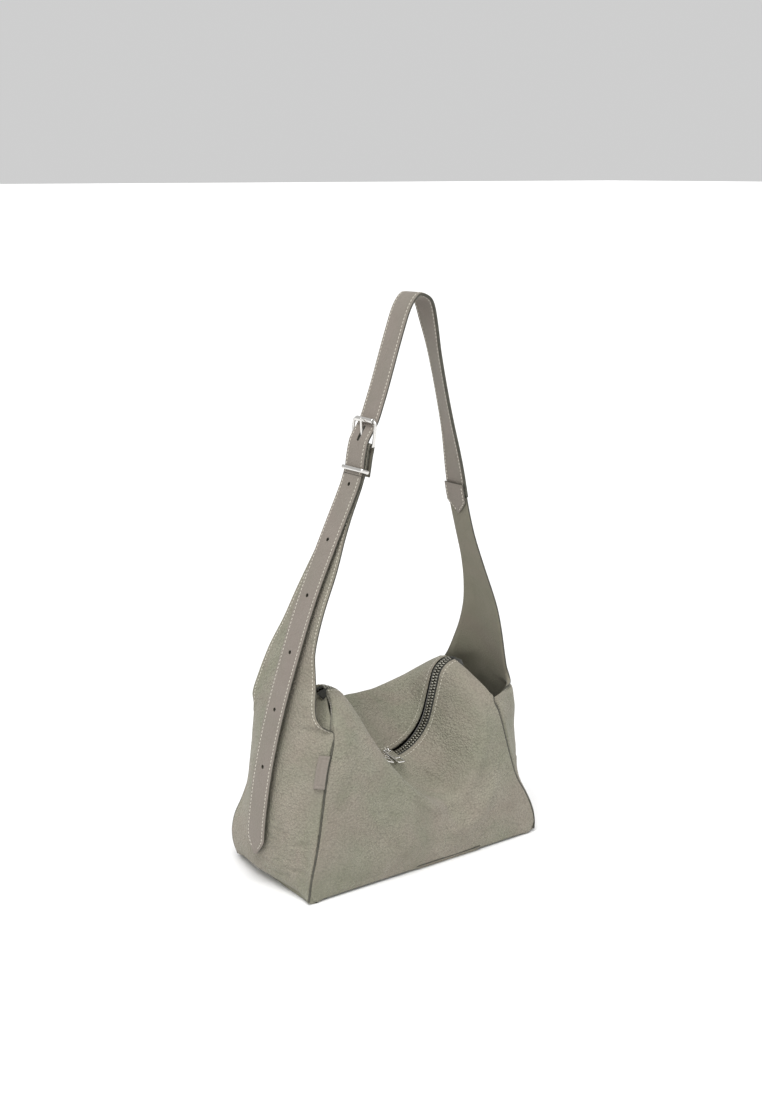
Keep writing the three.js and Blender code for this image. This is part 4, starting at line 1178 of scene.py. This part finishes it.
def plate(outline, holes, thickness, bevel):
    """Flat plate with holes and rounded edges, as a mesh, in millimetres."""
    curve = bpy.data.curves.new("plate", "CURVE")
    curve.dimensions = "2D"
    curve.fill_mode = "BOTH"
    curve.extrude = thickness / 2 - bevel
    curve.bevel_depth = bevel
    curve.bevel_resolution = 3
    curve.offset = -bevel
    for ring in [outline] + holes:
        spline = curve.splines.new("POLY")
        spline.points.add(len(ring) - 1)
        for point, (x, y) in zip(spline.points, ring):
            point.co = (x, y, 0, 1)
        spline.use_cyclic_u = True
    obj = linked("plate", curve)
    mesh = evaluated_mesh(obj)
    verts = np.array([v.co[:] for v in mesh.vertices])
    faces = [list(p.vertices) for p in mesh.polygons]
    bpy.data.objects.remove(obj)
    bpy.data.curves.remove(curve)
    bpy.data.meshes.remove(mesh)
    return verts, faces


def add_puller(side_name, middle):
    window = rounded_outline(rectangle(-2.9, 2.9, -22.5, -16.5), 0.9)
    slot = rounded_outline(rectangle(-1.9, 1.9, -5.2, -3.2), 0.6)
    tab = plate(rounded_outline(rectangle(-4.4, 4.4, -24.0, -2.0), 1.3), [window, slot], 1.5, 0.35)
    t = np.arange(28) * 2 * math.pi / 28
    ring = tube_mesh(np.stack([0 * t, -1.75 + 2.35 * np.cos(t), 2.35 * np.sin(t)], axis=1), 0.6, 12,
                     closed=True, up=(1, 0, 0))
    verts, faces = merge([tab, ring])
    x, y, z = verts.T
    y, z = (y * math.cos(PULLER_HANG) - z * math.sin(PULLER_HANG),
            y * math.sin(PULLER_HANG) + z * math.cos(PULLER_HANG))
    x, z = x * math.cos(middle) - z * math.sin(middle), x * math.sin(middle) + z * math.cos(middle)
    bar = on_valley(np.array([[0, 0, 6.4]]), middle)[0]
    add_metal("zip_puller_" + side_name + "_metal", [(np.stack([x, y, z], axis=1) + bar, faces)],
              side_name + "_puller", "zip_puller_" + side_name, 40)


add_slider("right")
add_slider("left")


# ---------------------------------------------------------------- buckle and keeper
def wire_loop(first, second, half_width, radius, corner, flat=(1.0, 1.0)):
    """Rounded rectangular loop of wire round two bars that run across the strap."""
    reach = np.linalg.norm(second - first)
    along = (second - first) / reach
    outline = rounded_outline(rectangle(0, reach, -half_width, half_width), corner, 9)
    dense = []
    for k in range(len(outline)):
        a, b = outline[k], outline[(k + 1) % len(outline)]
        count = max(int(np.linalg.norm(b - a) / 1.5), 1)
        dense += [a + (b - a) * i / count for i in range(count)]
    dense = np.array(dense)
    points = first + dense[:, :1] * along + dense[:, 1:] * np.array([[0.0, 1.0, 0.0]])
    return tube_mesh(points, radius, 16, closed=True, flat=flat, up=np.cross(along, [0, 1, 0]))


def lathe(profile, centre, sides=28):
    """Closed ring turned about an axis across the strap, from a loop of (radius, across)."""
    p = np.array(profile, float)
    angles = np.arange(sides) * 2 * math.pi / sides
    verts = np.array([[r * math.cos(a), y, r * math.sin(a)] for a in angles for r, y in p]) + centre
    return verts, band_faces(sides, len(p), True)


def add_buckle():
    add_metal("buckle_frame_metal", [wire_loop(HEEL_BAR, ROLLER_BAR, 15.2, 1.32, 4.0)], "strap",
              "buckle_frame")
    add_metal("roller_metal", [lathe([(1.65, -11.6), (2.0, -11.8), (2.3, -11.5), (2.3, 11.5), (2.0, 11.8),
                                      (1.65, 11.6)], ROLLER_BAR)], "roller", "buckle_roller")
    root = HEEL_BAR + np.array([0.5, 0, 2.2])
    tip = ROLLER_BAR + np.array([-4.1, 0, 1.6])
    t = np.concatenate([np.linspace(0, 0.9, 12), np.array([0.93, 0.955, 0.975, 0.99, 1.0])])
    spine = root + (tip - root) * t[:, None] * 1.03 + np.array([[-0.5, 0, 0]]) * np.sin(math.pi * t)[:, None]
    thick = np.where(t < 0.9, 1.15 - 0.15 * t, 1.02 * np.sqrt(np.maximum(1 - ((t - 0.9) / 0.1) ** 2, 0.02)))
    eye = lathe([(1.62, -1.7), (2.5, -1.7), (2.8, -1.4), (2.8, 1.4), (2.5, 1.7), (1.62, 1.7)], HEEL_BAR)
    add_metal("prong_metal", [eye, tube_mesh(spine, thick, 14)], "prong", "buckle_prong", 50)
    add_metal("keeper_metal", [wire_loop(KEEPER_FRONT, KEEPER_BACK, 14.6, 1.2, 2.6, (0.62, 1.4))], "keeper",
              "strap_keeper")


add_buckle()

# the stiffener and the lining's floor keep their shape
for kept, material in (("base_board", BOARD), ("lining_floor", LINING)):
    kept_mesh = bpy.data.objects[kept].data
    kept_mesh.materials.clear()
    kept_mesh.materials.append(material)

# ---------------------------------------------------------------- floor, light and camera
def add_stage():
    mesh = bpy.data.meshes.new("floor")
    mesh.from_pydata([(-60, -60, 0), (60, -60, 0), (60, 60, 0), (-60, 60, 0)], [], [(0, 1, 2, 3)])
    floor = linked("floor", mesh)
    m = Nodes("floor_paper")
    paper = m.mix(m.noise(2), (0.86, 0.86, 0.86, 1), (0.9, 0.9, 0.9, 1))
    mesh.materials.append(m.finish(paper, 0.9, specular_ior_level=0.1))
    world = bpy.data.worlds.new("studio")
    bpy.context.scene.world = world
    world.use_nodes = True
    background = world.node_tree.nodes["Background"].inputs
    background["Color"].default_value = (1, 1, 1, 1)
    background["Strength"].default_value = 0.62


def add_sun(name, towards, spread, strength):
    """Soft distant light from a direction, as from a large diffuser."""
    light = bpy.data.lights.new(name, "SUN")
    light.angle = math.radians(spread)
    light.energy = strength
    obj = linked(name, light)
    obj.rotation_euler = Vector(towards).to_track_quat("Z", "Y").to_euler()


def add_camera():
    azimuth, elevation, distance = math.radians(-36.9), math.radians(13.55), 1.366
    target = Vector((-0.009, 0, 0.275))
    back = Vector((math.sin(azimuth) * math.cos(elevation), -math.cos(azimuth) * math.cos(elevation),
                   math.sin(elevation)))
    camera = bpy.data.cameras.new("camera")
    camera.sensor_width = 36
    camera.lens = 51.77
    camera.clip_start = 0.05
    obj = linked("camera", camera)
    obj.location = target + back * distance
    obj.rotation_euler = back.to_track_quat("Z", "Y").to_euler()
    bpy.context.scene.camera = obj


add_stage()
add_sun("key", (-0.3, -0.3, 1.0), 40, 2.3)
add_sun("side", (-1.0, -0.75, 0.55), 70, 0.7)
add_camera()
bpy.context.scene.view_settings.view_transform = "Standard"
